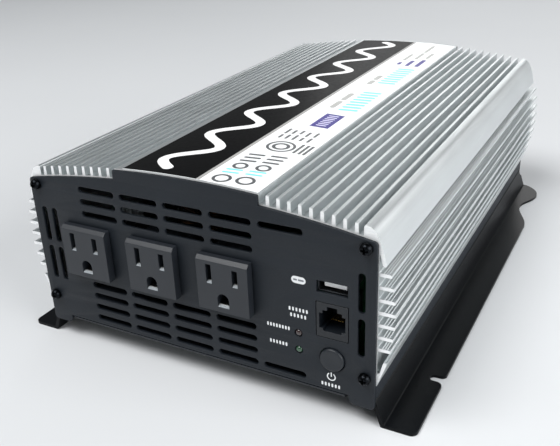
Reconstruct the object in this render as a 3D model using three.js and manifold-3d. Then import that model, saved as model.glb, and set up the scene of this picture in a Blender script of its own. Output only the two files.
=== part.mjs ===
// A DC to AC power inverter in millimetres, +Z up, with its socket panel facing -Y.
// Shapes are worked out in the body's own frame: x = 0 on the centre line, y = 0 on the outside
// of the front panel and z = 0 under the front and rear panels' folds. One group then
// puts the origin under the middle of the whole object, on the ground.
import * as THREE from 'three';
import { mergeVertices } from 'three/addons/utils/BufferGeometryUtils.js';
import Module from 'manifold-3d';

const wasm = await Module();
wasm.setup();

// Overall sizes
const BODY_LENGTH = 284.6;       // outside of the front panel to outside of the rear panel
const PANEL_HALF_WIDTH = 86;
const PANEL_CROWN = 86.7;        // top of the front panel on the centre line
const ARCH_RADIUS = 480;         // curve of the whole top, seen from the front
const PLATEAU_HALF_WIDTH = 35.7; // raised flat band along the middle of the top
const PLATEAU_STEP = 4.3;        // the band's height over the floors of the grooves
const SHEET = 1.5;               // thickness of the folded steel parts
const GAP = 0.3;                 // clearance between pieces that sit against each other
const FOOT_DROP = 11;            // ground to the underside of the panels' folds
const FLANGE_REACH = 17.5;       // outer edge of the mounting feet beyond the panels' edges

// Aluminium housing
const WALL = 2.6;
const FIN_COUNT = 9;             // on each side of the raised band
const FIN_WIDTH = 1.8;
const FIN_TIP_WIDTH = 1.4;
const FIRST_FIN = 3.8;           // raised band's edge to the middle of the first fin
const LAST_FIN = 9;              // panel's edge to the middle of the last fin
const SIDE_FIN_DROP = 14;        // groove floors at the panel's edge to the uppermost side fin
const SIDE_FIN_PITCH = 5.62;
const SIDE_FIN_WIDTH = 1.5;
const SERRATION = 0.35;          // height and half width of the two fine ridges on each side fin
const SIDE_BULGE_RADIUS = 85;    // the side fins' tips lie on an upright barrel curve
const SIDE_BULGE_REACH = 7.2;    // furthest fin tip beyond the panel's edge
const LIP = 1.8;                 // thickness of the shoulder's and the skirt's lips
const SHOULDER_WIDTH = 6.2;      // panel's edge back to where the shoulder rises
const SHOULDER_REACH = 3.1;      // tip of the shoulder's lip beyond the panel's edge
const SHOULDER_DROP = 10;        // groove floors at the panel's edge to the tip of the lip
const SKIRT_TIP = 21.7;          // height of the skirt's lip

// Label film on the raised band: margins at its left, right and rear, and its adhesive's lift
const LABEL = { left: 4.5, right: 0.5, rear: 5.4, lift: 0.06, thickness: 0.2 };

// Screw channels and screws at the corners of both end panels
const SCREW_INSET = 4.2;         // from the panel's edge
const SCREW_LOW = 13.2;
const SCREW_DROP = 3.6;          // groove floors to the upper screws
const SCREW_RADIUS = 1.45;
const CHANNEL_HALF = 4.4;        // half the height of a screw channel
const CHANNEL_FACE = 3.2;        // screw's axis to the channel's open face
const CHANNEL_JAW = 1;           // half the width of its opening
const SCREW_HEAD_RADIUS = 3.1;
const SCREW_HEAD_HEIGHT = 2.2;
const SCREW_LENGTH = 12;

// Sheet metal folds
const FOLD_DEPTH = 14;           // length of each panel's fold under the tray
const FOLD_INSET = 13;           // panel's edge to the end of its fold
const RELIEF = 1.6;              // width of the slit beside each fold
const EAR_DROP = 2;              // the panels' outer corners reach this far below the folds
const TRAY_SIDE_TOP = 9.1;

// Mounting feet
const FOOT_SPLAY = 3.3;          // outward lean of the foot's web over its height
const FOOT_TOP_WIDTH = 10;
const FRONT_SLOT = { y: 41.6, width: 4.5, depth: 6.6, flare: 3 };
const REAR_NOTCH = { inset: 38, depth: 8.6, front: 29, rear: 22, tabInset: 2 };
const TAB_END = 5.5;             // panel's edge to where the rear tab meets the foot's rear end
const CORNER_RADIUS = 3;

// Ventilation slots in the front panel
const VENT_LENGTH = 20.2;
const VENT_WIDTH = 3.1;
const VENT_PITCH = 23.04;
const VENT_ROW_PITCH = 6.05;
const VENT_INSET = 39.1;         // panel edge to the middle of the first column
const VENT_DROP = 13.6;          // panel's crown to the top row
const VENT_LOW_ROW = 6.05;
const SIDE_VENT_LENGTH = 17.8;
const SIDE_VENT_HEIGHTS = [52, 31.6];
const SIDE_VENT_INSET = 6;
const SIDE_VENT_PITCH = 6;

// Sockets
const OUTLET_COUNT = 3;
const OUTLET_PITCH = 37;
const OUTLET_INSET = 31.4;       // panel's left edge to the middle of the first outlet
const OUTLET_WIDTH = 25;
const OUTLET_BOTTOM = 30.4;
const OUTLET_TOP = 55.6;
const OUTLET_PROUD = 4.5;
const OUTLET_BEVEL = 1.6;
const OUTLET_DEPTH = 20;
const OUTLET_INSTEP = 0.8;       // the face overlaps the panel by this much all round
const BLADE_SPACING = 12.7;
const BLADE_HEIGHT = 47.9;
const BLADE_SLOT_WIDTH = 2.6;
const NEUTRAL_SLOT = 9;
const LIVE_SLOT = 7.9;
const EARTH_HEIGHT = 36.1;
const EARTH_WIDTH = 5.6;
const EARTH_TALL = 6.6;
const CONTACT = 0.8;
const CONTACT_SET_BACK = 1.2;
const STRIP_HEIGHT = 4;

// Controls, all on one column near the right edge
const CONTROL_INSET = 18.5;
const USB = { z: 51.1, width: 13.6, height: 5.4, depth: 15, wall: 0.5 };
const JACK = { z: 36, width: 13.8, height: 16, depth: 15 };
const PLUG_WIDTH = 10.2;
const PLUG_HEIGHT = 7.4;
const SPRING_ROOM = 1.2;         // pressed button to the switch behind it
const SWITCH_WIDTH = 10;
const BUTTON = { z: 17.9, radius: 5.4, proud: 1.2, travel: 1.5, cap: 4, stem: 1.7, stemEnd: 9 };
const LED = { inset: 33.7, heights: [26.7, 18.5], radius: 1.5, collar: 0.5 };
const BOARD_CLEARANCE = 0.5;     // charging port's back to the control board
const BOARD = 1.6;

// Fans and battery terminals on the rear panel
const FAN_SIZE = 50;
const FAN_DEPTH = 15;
const FAN_WALL = 1.6;            // thinnest part of a fan's frame
const FAN_CLEARANCE = 8;         // panel's edge to a fan's frame
const FAN_AXLE = 1.5;
const STRUT_DEPTH = 2;
const HUB_RADIUS = 9;
const BLADE_COUNT = 7;
const GUARD_WIRE = 0.9;
const GUARD_INSET = 5;           // fan's edge to its corner screws
const TERMINAL_X = 13.5;
const TERMINAL_HEIGHT = 46;
const STUD_RADIUS = 4;
const STUD_PROUD = 24;
const STUD_INSIDE = 22;
const TERMINAL_BASE = { width: 22, height: 30, depth: 7 };
const KNOB_RADIUS = 9;
const KNOB_LENGTH = 11;
const EARTH_STUD = { z: 14, radius: 2.5, proud: 11 };

// Inside
const MAIN_BOARD_BOTTOM = 10;
const MAIN_BOARD_INSET = 12;     // panel's edge to the board's side
const MAIN_BOARD_FRONT = 44;
const MAIN_BOARD_REAR = 34;      // board's rear edge to the rear panel
const STANDOFF_RADIUS = 3;
const CORE = { width: 42, depth: 18, height: 40, leg: 12, yoke: 7, side: 7 };
const TRANSFORMERS = { count: 2, x: 30, first: 56, pitch: 60 };
const BUS_CAPACITORS = { x: -40, first: 68, pitch: 30, radius: 12.5, height: 45 };
const INPUT_CAPACITORS = { x: -18, last: 46, pitch: 20, radius: 8, height: 32 };
const CHOKE = { beside: 22.4, y: 26, radius: 13, thickness: 6.5 }; // beside the outlets' lead
const BATTERY_LEAD_RADIUS = 4;
const OUTLET_LEAD_RADIUS = 3;

const rearFace = BODY_LENGTH;
const panelEdge = PANEL_HALF_WIDTH;
const controlX = panelEdge - CONTROL_INSET;
const housingCrown = PANEL_CROWN + GAP;
const grooveCrown = housingCrown - PLATEAU_STEP;
const innerCrown = grooveCrown - WALL;
const wallOuter = panelEdge + 0.2;
const wallInner = wallOuter - WALL;
const shoulderFloor = grooveCrown - ARCH_RADIUS + Math.sqrt(ARCH_RADIUS ** 2 - panelEdge ** 2);
const sideFinTop = shoulderFloor - SIDE_FIN_DROP;
const sideFinCount = Math.round((sideFinTop - SKIRT_TIP) / SIDE_FIN_PITCH);
const shoulderTip = shoulderFloor - SHOULDER_DROP;
const bulgeHeight = (shoulderTip + SKIRT_TIP) / 2;
const skirtBottom = TRAY_SIDE_TOP + GAP;
const screwX = panelEdge - SCREW_INSET;
const foldHalfWidth = panelEdge - FOLD_INSET;
const footReach = panelEdge + FLANGE_REACH;
const footStart = SHEET + GAP;
const trayFloor = SHEET + GAP;
const trayTop = trayFloor + SHEET;
const boardTop = MAIN_BOARD_BOTTOM + BOARD;
const boardHalfWidth = panelEdge - MAIN_BOARD_INSET;
const boardRear = rearFace - MAIN_BOARD_REAR;
const controlBoardY = SHEET + USB.depth + BOARD_CLEARANCE;
const fanBore = FAN_SIZE / 2 - FAN_WALL;
const fanRear = rearFace - SHEET - GAP;
const fanHeight = (trayTop + archHeight(panelEdge - FAN_CLEARANCE, innerCrown)) / 2;

const LOOKS = {
  powderCoat: { color: 0x373b40, roughness: 0.6, metalness: 0.1 },
  footCoat: { color: 0x1d1e21, roughness: 0.5, metalness: 0.1 },
  aluminium: { color: 0xc6cacc, roughness: 0.35, metalness: 0.9 },
  blackScrew: { color: 0x202124, roughness: 0.4, metalness: 0.6 },
  outletPlastic: { color: 0x3f4143, roughness: 0.55, metalness: 0 },
  blackPlastic: { color: 0x1b1c1e, roughness: 0.5, metalness: 0 },
  whitePlastic: { color: 0xe8e8e6, roughness: 0.5, metalness: 0 },
  redPlastic: { color: 0xa81d1f, roughness: 0.45, metalness: 0 },
  label: { color: 0x141416, roughness: 0.3, metalness: 0 },
  plated: { color: 0xc9c7c1, roughness: 0.25, metalness: 1 },
  brass: { color: 0xc8a04a, roughness: 0.3, metalness: 1 },
  ferrite: { color: 0x35363a, roughness: 0.7, metalness: 0.1 },
  winding: { color: 0xb98a2c, roughness: 0.6, metalness: 0 },
  circuitBoard: { color: 0x1f5a36, roughness: 0.5, metalness: 0 },
  capacitorSleeve: { color: 0x1c2740, roughness: 0.4, metalness: 0 },
  redLens: { color: 0x6a2a2a, roughness: 0.15, metalness: 0 },
  greenLens: { color: 0x2f7a3c, roughness: 0.15, metalness: 0 },
};

// ---- Tools for making solids ----

// Shared corners are merged, and triangles that the merging closes up are dropped.
function closedGeometry(source) {
  const loose = source.clone();
  loose.deleteAttribute('normal');
  loose.deleteAttribute('uv');
  const geometry = mergeVertices(loose, 1e-4);
  const corners = geometry.index.array;
  const kept = [];
  for (let i = 0; i < corners.length; i += 3) {
    const [a, b, c] = corners.slice(i, i + 3);
    if (a !== b && b !== c && c !== a) kept.push(a, b, c);
  }
  geometry.setIndex(kept);
  return geometry;
}

function toSolid(source) {
  const geometry = closedGeometry(source);
  const vertProperties = new Float32Array(geometry.attributes.position.array);
  const triVerts = new Uint32Array(geometry.index.array);
  return new wasm.Manifold(new wasm.Mesh({ numProp: 3, vertProperties, triVerts }));
}

function toGeometry(solid) {
  const mesh = solid.getMesh();
  const geometry = new THREE.BufferGeometry();
  geometry.setAttribute('position', new THREE.BufferAttribute(mesh.vertProperties, 3));
  geometry.setIndex(new THREE.BufferAttribute(mesh.triVerts, 1));
  return geometry;
}

function join(base, ...others) {
  let solid = toSolid(base);
  for (const other of others) solid = solid.add(toSolid(other));
  return toGeometry(solid);
}

function cut(base, ...tools) {
  let solid = toSolid(base);
  for (const tool of tools) solid = solid.subtract(toSolid(tool));
  return toGeometry(solid);
}

function box(x0, x1, y0, y1, z0, z1) {
  const geometry = new THREE.BoxGeometry(x1 - x0, y1 - y0, z1 - z0);
  return geometry.translate((x0 + x1) / 2, (y0 + y1) / 2, (z0 + z1) / 2);
}

function cylinderY(radius, x, z, y0, y1, segments = 20) {
  const geometry = new THREE.CylinderGeometry(radius, radius, y1 - y0, segments);
  return geometry.translate(x, (y0 + y1) / 2, z);
}

function cylinderZ(radius, x, y, z0, z1, segments = 16) {
  const geometry = new THREE.CylinderGeometry(radius, radius, z1 - z0, segments);
  return geometry.rotateX(Math.PI / 2).translate(x, y, (z0 + z1) / 2);
}

// A profile of [radius, y] pairs from the axis and back to it, turned about a line along Y.
function turnedY(profile, x, z, segments = 20) {
  const points = profile.map(([r, y]) => new THREE.Vector2(r, y));
  return new THREE.LatheGeometry(points, segments).translate(x, 0, z);
}

// A profile of [radius, z] pairs turned about an upright line.
function turnedZ(profile, x, y, segments = 20) {
  const points = profile.map(([r, z]) => new THREE.Vector2(r, z));
  return new THREE.LatheGeometry(points, segments).rotateX(Math.PI / 2).translate(x, y, 0);
}

// An outline in x and z, carried from y0 to y1.
function extrudeY(shape, y0, y1, curveSegments = 6) {
  const options = { depth: y1 - y0, bevelEnabled: false, curveSegments };
  return new THREE.ExtrudeGeometry(shape, options).rotateX(Math.PI / 2).translate(0, y1, 0);
}

// An outline in y and z, carried from x0 to x1.
function extrudeX(shape, x0, x1, curveSegments = 6) {
  const options = { depth: x1 - x0, bevelEnabled: false, curveSegments };
  const turn = new THREE.Matrix4().makeBasis(
    new THREE.Vector3(0, 1, 0),
    new THREE.Vector3(0, 0, 1),
    new THREE.Vector3(1, 0, 0),
  );
  return new THREE.ExtrudeGeometry(shape, options).applyMatrix4(turn).translate(x0, 0, 0);
}

// An outline in x and y, carried from z0 to z1.
function extrudeZ(shape, z0, z1, curveSegments = 6) {
  const options = { depth: z1 - z0, bevelEnabled: false, curveSegments };
  return new THREE.ExtrudeGeometry(shape, options).translate(0, 0, z0);
}

function shapeOf(pairs) {
  return new THREE.Shape(pairs.map(([a, b]) => new THREE.Vector2(a, b)));
}

// A round bar along a smooth curve through the given points.
function bar(points, radius, steps, sides = 8) {
  const curve = new THREE.CatmullRomCurve3(points.map(([x, y, z]) => new THREE.Vector3(x, y, z)));
  const section = new THREE.Shape();
  section.absarc(0, 0, radius, 0, 2 * Math.PI, false);
  const options = { extrudePath: curve, steps, bevelEnabled: false, curveSegments: sides / 2 };
  return new THREE.ExtrudeGeometry(section, options);
}

// The mirror image of a right half outline is added after it, so it closes on itself.
function mirrored(half) {
  const right = half.getPoints(4);
  const left = right.slice(1, -1).reverse().map((point) => new THREE.Vector2(-point.x, point.y));
  return new THREE.Shape([...right, ...left]);
}

function slotPath(x, z, length, width, upright = false) {
  const r = width / 2;
  const reach = length / 2 - r;
  const path = new THREE.Path();
  if (upright) {
    path.absarc(x, z + reach, r, 0, Math.PI, false);
    path.absarc(x, z - reach, r, Math.PI, 2 * Math.PI, false);
  } else {
    path.absarc(x + reach, z, r, -Math.PI / 2, Math.PI / 2, false);
    path.absarc(x - reach, z, r, Math.PI / 2, 1.5 * Math.PI, false);
  }
  path.closePath();
  return path;
}

// A many-sided hole whose flats, not its corners, lie at the radius.
function roundPath(x, z, radius, sides = 16) {
  const corner = radius / Math.cos(Math.PI / sides);
  const path = new THREE.Path();
  for (let i = 0; i < sides; i += 1) {
    const angle = (2 * Math.PI * (i + 0.5)) / sides;
    const point = [x + corner * Math.cos(angle), z + corner * Math.sin(angle)];
    if (i) path.lineTo(...point);
    else path.moveTo(...point);
  }
  path.closePath();
  return path;
}

function rectPath(x0, x1, z0, z1) {
  const path = new THREE.Path();
  path.moveTo(x0, z0);
  path.lineTo(x1, z0);
  path.lineTo(x1, z1);
  path.lineTo(x0, z1);
  path.closePath();
  return path;
}

const inverter = new THREE.Group();

// Every piece goes in as one closed solid that faces outwards.
function addPart(name, source, look) {
  const geometry = closedGeometry(source);
  const mesh = new THREE.Mesh(geometry, new THREE.MeshStandardMaterial(LOOKS[look]));
  mesh.name = name;
  geometry.computeVertexNormals();
  inverter.add(mesh);
  return mesh;
}

function archHeight(x, crown) {
  return crown - ARCH_RADIUS + Math.sqrt(ARCH_RADIUS ** 2 - x * x);
}

function bulge(z) {
  const fall = SIDE_BULGE_RADIUS - Math.sqrt(SIDE_BULGE_RADIUS ** 2 - (z - bulgeHeight) ** 2);
  return panelEdge + SIDE_BULGE_REACH - fall;
}

// ---- Housing ----

function addArch(path, fromX, toX, crown, steps) {
  for (let i = 0; i <= steps; i += 1) {
    const x = fromX + ((toX - fromX) * i) / steps;
    path.lineTo(x, archHeight(x, crown));
  }
}

function addTopFins(path) {
  const first = PLATEAU_HALF_WIDTH + FIRST_FIN;
  const last = panelEdge - LAST_FIN;
  for (let i = 0; i < FIN_COUNT; i += 1) {
    const x = first + ((last - first) * i) / (FIN_COUNT - 1);
    const foot = FIN_WIDTH / 2;
    const tip = FIN_TIP_WIDTH / 2;
    path.lineTo(x - foot, archHeight(x - foot, grooveCrown));
    path.lineTo(x - tip, archHeight(x, housingCrown));
    path.lineTo(x + tip, archHeight(x, housingCrown));
    path.lineTo(x + foot, archHeight(x + foot, grooveCrown));
  }
}

// A rounded shoulder whose lip hangs clear of the wall.
function addShoulder(path) {
  const start = panelEdge - SHOULDER_WIDTH;
  const floor = archHeight(start, grooveCrown);
  const crest = floor + PLATEAU_STEP + 0.2;
  const tipX = panelEdge + SHOULDER_REACH;
  path.lineTo(start, floor);
  path.lineTo(start + 0.3, crest);
  path.bezierCurveTo(panelEdge - 0.9, crest - 0.3, panelEdge + 1, crest - 5.6, tipX, shoulderTip);
  path.lineTo(tipX - LIP, shoulderTip + 0.3);
  path.lineTo(wallOuter, shoulderTip + 4.6);
}

// Each side fin carries two fine ridges along its upper face.
function addSideFins(path) {
  const foot = SIDE_FIN_WIDTH / 2;
  const tip = foot - 0.15;
  for (let i = 0; i < sideFinCount; i += 1) {
    const z = sideFinTop - SIDE_FIN_PITCH * i;
    const reach = bulge(z) - wallOuter;
    path.lineTo(wallOuter, z + foot);
    for (const share of [1 / 3, 2 / 3]) {
      const x = wallOuter + reach * share;
      path.lineTo(x - SERRATION, z + foot);
      path.lineTo(x, z + foot + SERRATION);
      path.lineTo(x + SERRATION, z + foot);
    }
    path.lineTo(bulge(z), z + tip);
    path.lineTo(bulge(z), z - tip);
    path.lineTo(wallOuter, z - foot);
  }
}

// The skirt's lip leans out over the tray's side wall.
function addSkirt(path) {
  const reach = bulge(SKIRT_TIP);
  path.lineTo(wallOuter, SKIRT_TIP - 6);
  path.lineTo(wallOuter + 1.2, SKIRT_TIP - 5.6);
  path.lineTo(reach - LIP, SKIRT_TIP - 0.6);
  path.lineTo(reach - 0.2, SKIRT_TIP);
  path.lineTo(reach - 0.4, SKIRT_TIP - 1.4);
  path.lineTo(wallOuter, skirtBottom);
}

function screwHigh() {
  return archHeight(screwX, grooveCrown) - SCREW_DROP;
}

// A screw channel on the inside of the wall, open towards the middle.
function addScrewChannel(path, z, wallBelow, closeTop) {
  const radius = SCREW_RADIUS + GAP;
  const face = screwX - CHANNEL_FACE;
  const opening = Math.asin(CHANNEL_JAW / radius);
  const chamfer = 1.4;
  path.lineTo(wallBelow, z - CHANNEL_HALF);
  path.lineTo(face + chamfer, z - CHANNEL_HALF);
  path.lineTo(face, z - CHANNEL_HALF + chamfer);
  path.lineTo(face, z - CHANNEL_JAW);
  path.absarc(screwX, z, radius, Math.PI + opening, 3 * Math.PI - opening, false);
  path.lineTo(face, z + CHANNEL_JAW);
  if (closeTop) {
    path.lineTo(face, z + CHANNEL_HALF - chamfer);
    path.lineTo(face + chamfer, z + CHANNEL_HALF);
    path.lineTo(wallInner, z + CHANNEL_HALF);
  }
}

function housing() {
  const half = new THREE.Path();
  const stubOuter = panelEdge - SHEET - GAP;
  const stubInner = stubOuter - 2.2;
  const archEnd = screwX - CHANNEL_HALF;
  half.moveTo(0, housingCrown);
  addArch(half, 0, PLATEAU_HALF_WIDTH, housingCrown, 6);
  half.lineTo(PLATEAU_HALF_WIDTH + 0.2, archHeight(PLATEAU_HALF_WIDTH, grooveCrown));
  addTopFins(half);
  addShoulder(half);
  addSideFins(half);
  addSkirt(half);
  half.lineTo(stubOuter, skirtBottom);
  half.lineTo(stubOuter, trayTop + GAP);
  half.lineTo(stubInner, trayTop + GAP);
  addScrewChannel(half, SCREW_LOW, stubInner, true);
  addScrewChannel(half, screwHigh(), wallInner, false);
  addArch(half, archEnd, 0, innerCrown, 10);
  return extrudeY(mirrored(half), SHEET + GAP, rearFace - SHEET - GAP);
}

// ---- Sheet metal ----

function panelShape() {
  const half = new THREE.Path();
  const corner = archHeight(panelEdge, grooveCrown - GAP);
  half.moveTo(0, PANEL_CROWN);
  addArch(half, 0, PLATEAU_HALF_WIDTH, PANEL_CROWN, 6);
  addArch(half, PLATEAU_HALF_WIDTH + 0.2, panelEdge - 1.2, grooveCrown - GAP, 5);
  half.quadraticCurveTo(panelEdge, corner, panelEdge, corner - 1.4);
  half.lineTo(panelEdge, 1 - EAR_DROP);
  half.quadraticCurveTo(panelEdge, -EAR_DROP, panelEdge - 1, -EAR_DROP);
  const ear = foldHalfWidth + RELIEF;
  half.lineTo(ear + 1, -EAR_DROP);
  half.quadraticCurveTo(ear, -EAR_DROP, ear, 1 - EAR_DROP);
  half.lineTo(ear, SHEET + 0.8);
  half.lineTo(foldHalfWidth, SHEET + 0.8);
  half.lineTo(foldHalfWidth, SHEET + 0.5);
  half.lineTo(0, SHEET + 0.5);
  return mirrored(half);
}

// The fold that turns back under the tray from the foot of a panel.
function panelFold() {
  const bend = SHEET + 0.5;
  const shape = new THREE.Shape();
  shape.moveTo(0, bend + 0.3);
  shape.lineTo(0, bend);
  shape.absarc(bend, bend, bend, Math.PI, 1.5 * Math.PI, false);
  shape.lineTo(FOLD_DEPTH, 0);
  shape.lineTo(FOLD_DEPTH, SHEET);
  shape.absarc(bend, bend, 0.5, 1.5 * Math.PI, Math.PI, true);
  shape.lineTo(SHEET, bend + 0.3);
  return extrudeX(shape, -foldHalfWidth, foldHalfWidth, 3);
}

function panel(holes) {
  const shape = panelShape();
  shape.holes.push(...holes);
  return join(extrudeY(shape, 0, SHEET, 3), panelFold());
}

function screwPlaces() {
  return [[-screwX, screwHigh()], [screwX, screwHigh()], [-screwX, SCREW_LOW], [screwX, SCREW_LOW]];
}

function screwHoles() {
  return screwPlaces().map(([x, z]) => roundPath(x, z, SCREW_RADIUS + GAP));
}

function outletX(index) {
  return -panelEdge + OUTLET_INSET + OUTLET_PITCH * index;
}

function ventHoles() {
  const holes = [];
  const columnX = (column) => -panelEdge + VENT_INSET + VENT_PITCH * column;
  const addRow = (z, columns) => {
    for (let i = 0; i < columns; i += 1) holes.push(slotPath(columnX(i), z, VENT_LENGTH, VENT_WIDTH));
  };
  const topRow = PANEL_CROWN - VENT_DROP;
  for (let row = 0; row < 3; row += 1) addRow(topRow - VENT_ROW_PITCH * row, row === 0 ? 5 : 4);
  for (let row = 0; row < 4; row += 1) addRow(VENT_LOW_ROW + VENT_ROW_PITCH * row, row === 0 ? 5 : 4);
  for (const z of SIDE_VENT_HEIGHTS) {
    holes.push(slotPath(-panelEdge + SIDE_VENT_INSET, z, SIDE_VENT_LENGTH, VENT_WIDTH, true));
    const second = -panelEdge + SIDE_VENT_INSET + SIDE_VENT_PITCH;
    holes.push(slotPath(second, z, SIDE_VENT_LENGTH, VENT_WIDTH, true));
    holes.push(slotPath(panelEdge - SIDE_VENT_INSET, z, SIDE_VENT_LENGTH, VENT_WIDTH, true));
  }
  return holes;
}

function outletCuts() {
  const cuts = [];
  const half = OUTLET_WIDTH / 2 - OUTLET_INSTEP + GAP;
  const bottom = OUTLET_BOTTOM + OUTLET_INSTEP - GAP;
  const top = OUTLET_TOP - OUTLET_INSTEP + GAP;
  for (let i = 0; i < OUTLET_COUNT; i += 1) {
    const x = outletX(i);
    cuts.push(box(x - half, x + half, -1, SHEET + 1, bottom, top));
  }
  return cuts;
}

function controlHoles() {
  const usbHalf = USB.width / 2;
  const jackHalf = JACK.width / 2 + GAP;
  const usbTop = USB.z + USB.height / 2;
  const jackTop = JACK.z + JACK.height / 2 + GAP;
  const holes = [
    rectPath(controlX - usbHalf, controlX + usbHalf, usbTop - USB.height, usbTop),
    rectPath(controlX - jackHalf, controlX + jackHalf, jackTop - JACK.height - 2 * GAP, jackTop),
    roundPath(controlX, BUTTON.z, BUTTON.radius + GAP),
  ];
  for (const z of LED.heights) holes.push(roundPath(panelEdge - LED.inset, z, LED.radius + GAP));
  return holes;
}

function frontPanel() {
  return cut(panel([...screwHoles(), ...ventHoles(), ...controlHoles()]), ...outletCuts());
}

function fanX(side) {
  return side * (panelEdge - FAN_CLEARANCE - FAN_SIZE / 2);
}

// Made like the front panel, then turned end for end.
function rearPanel() {
  const holes = [...screwHoles(), roundPath(0, EARTH_STUD.z, EARTH_STUD.radius + GAP)];
  for (const side of [-1, 1]) {
    holes.push(roundPath(fanX(side), fanHeight, fanBore, 32));
    holes.push(roundPath(side * TERMINAL_X, TERMINAL_HEIGHT, STUD_RADIUS + 2 + GAP));
  }
  return panel(holes).rotateZ(Math.PI).translate(0, rearFace, 0);
}

// A shallow tray with upturned sides that stands on the panels' folds and the feet.
function tray() {
  const edge = panelEdge;
  const y0 = SHEET + GAP;
  const y1 = rearFace - SHEET - GAP;
  const bend = 1;
  const half = new THREE.Path();
  half.moveTo(0, trayTop);
  half.lineTo(edge - SHEET, trayTop);
  half.lineTo(edge - SHEET, TRAY_SIDE_TOP);
  half.lineTo(edge, TRAY_SIDE_TOP);
  half.lineTo(edge, trayFloor + bend);
  half.quadraticCurveTo(edge, trayFloor, edge - bend, trayFloor);
  half.lineTo(0, trayFloor);
  const posts = standoffPlaces().map(([x, y]) =>
    cylinderZ(STANDOFF_RADIUS, x, y, trayTop - 0.5, MAIN_BOARD_BOTTOM - GAP, 12));
  return join(extrudeY(mirrored(half), y0, y1), ...posts);
}

function standoffPlaces() {
  const x = boardHalfWidth - 6;
  const front = MAIN_BOARD_FRONT + 8;
  const rear = boardRear - 8;
  return [[-x, front], [x, front], [-x, rear], [x, rear]];
}

// A cutter through a foot's flange.
function flangeCut(shape) {
  return extrudeZ(shape, -FOOT_DROP - 1, -FOOT_DROP + SHEET + 1, 4);
}

// An open-ended slot near the front, with its mouth flared.
function frontSlot() {
  const { y, width, depth, flare } = FRONT_SLOT;
  const r = width / 2;
  const floor = footReach - depth;
  const mouth = footReach + 0.1;
  const shape = new THREE.Shape();
  shape.moveTo(mouth + 2, y - r - flare);
  shape.lineTo(mouth, y - r - flare);
  shape.quadraticCurveTo(mouth, y - r, mouth - flare, y - r);
  shape.lineTo(floor + r, y - r);
  shape.absarc(floor + r, y, r, 1.5 * Math.PI, 0.5 * Math.PI, true);
  shape.lineTo(mouth - flare, y + r);
  shape.quadraticCurveTo(mouth, y + r, mouth, y + r + flare);
  shape.lineTo(mouth + 2, y + r + flare);
  return flangeCut(shape);
}

// A wide, wavy notch near the rear. It leaves a tab whose rear corner is rounded away.
function rearNotch() {
  const { inset, depth, front, rear, tabInset } = REAR_NOTCH;
  const y = rearFace - inset;
  const floor = footReach - depth;
  const tab = footReach - tabInset;
  const beyond = footReach + 2;
  const tabRoot = panelEdge + TAB_END;
  const shape = new THREE.Shape();
  shape.moveTo(beyond, y - front);
  shape.lineTo(footReach, y - front);
  shape.bezierCurveTo(footReach - 1, y - 0.62 * front, floor, y - 0.35 * front, floor, y);
  shape.bezierCurveTo(floor, y + 0.36 * rear, tab, y + 0.59 * rear, tab, y + rear);
  shape.quadraticCurveTo(tab, rearFace - 7, tabRoot, rearFace);
  shape.lineTo(tabRoot, rearFace + 1);
  shape.lineTo(beyond, rearFace + 1);
  return flangeCut(shape);
}

function frontCorner() {
  const r = CORNER_RADIUS;
  const shape = new THREE.Shape();
  shape.moveTo(footReach + 1, footStart - 1);
  shape.lineTo(footReach + 1, footStart + r);
  shape.lineTo(footReach, footStart + r);
  shape.quadraticCurveTo(footReach, footStart, footReach - r, footStart);
  shape.lineTo(footReach - r, footStart - 1);
  return flangeCut(shape);
}

// A folded foot: a flange under the tray, a leaning web and a flange on the ground.
function rightFoot() {
  const outer = panelEdge + 0.2;
  const inner = outer - SHEET;
  const topEdge = inner - FOOT_TOP_WIDTH;
  const ground = -FOOT_DROP;
  const shape = shapeOf([
    [topEdge, 0],
    [inner, 0],
    [inner + FOOT_SPLAY, ground + 0.5],
    [inner + FOOT_SPLAY + 0.5, ground],
    [footReach, ground],
    [footReach, ground + SHEET],
    [outer + FOOT_SPLAY, ground + SHEET],
    [outer, SHEET - 0.8],
    [outer - 0.7, SHEET],
    [topEdge, SHEET],
  ]);
  const earStart = rearFace - SHEET - GAP;
  const earRoom = box(0, outer + FOOT_SPLAY, earStart, rearFace + 1, -EAR_DROP - GAP, SHEET + 1);
  const solid = extrudeY(shape, footStart, rearFace);
  return cut(solid, earRoom, frontSlot(), rearNotch(), frontCorner());
}

// A mirror image keeps its faces outward when each triangle's order is swapped.
function mirrorX(source) {
  const geometry = source.clone().scale(-1, 1, 1);
  const index = geometry.index;
  for (let i = 0; i < index.count; i += 3) {
    const swap = index.getX(i);
    index.setX(i, index.getX(i + 1));
    index.setX(i + 1, swap);
  }
  return geometry;
}

function panelScrew(x, z) {
  const h = SCREW_HEAD_HEIGHT;
  const r = SCREW_HEAD_RADIUS;
  const out = -GAP;
  const profile = [
    [0, out - h], [r * 0.7, out - h], [r, out - h * 0.35], [r, out],
    [SCREW_RADIUS, out], [SCREW_RADIUS, SCREW_LENGTH - 1], [0, SCREW_LENGTH],
  ];
  const blank = turnedY(profile, x, z, 12);
  const arm = 0.5;
  const reach = r * 0.55;
  const deep = out - h + 1.1;
  const crossA = box(x - reach, x + reach, out - h - 1, deep, z - arm, z + arm);
  const crossB = box(x - arm, x + arm, out - h - 1, deep, z - reach, z + reach);
  return cut(blank, crossA, crossB);
}

function label() {
  const x0 = LABEL.left - PLATEAU_HALF_WIDTH;
  const x1 = PLATEAU_HALF_WIDTH - LABEL.right;
  const steps = 8;
  const lower = [];
  const upper = [];
  for (let i = 0; i <= steps; i += 1) {
    const x = x0 + ((x1 - x0) * i) / steps;
    const bottom = archHeight(x, housingCrown) + LABEL.lift;
    lower.push([x, bottom]);
    upper.unshift([x, bottom + LABEL.thickness]);
  }
  return extrudeY(shapeOf([...lower, ...upper]), SHEET + 2 * GAP, rearFace - LABEL.rear);
}

// ---- Outlets ----

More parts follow.
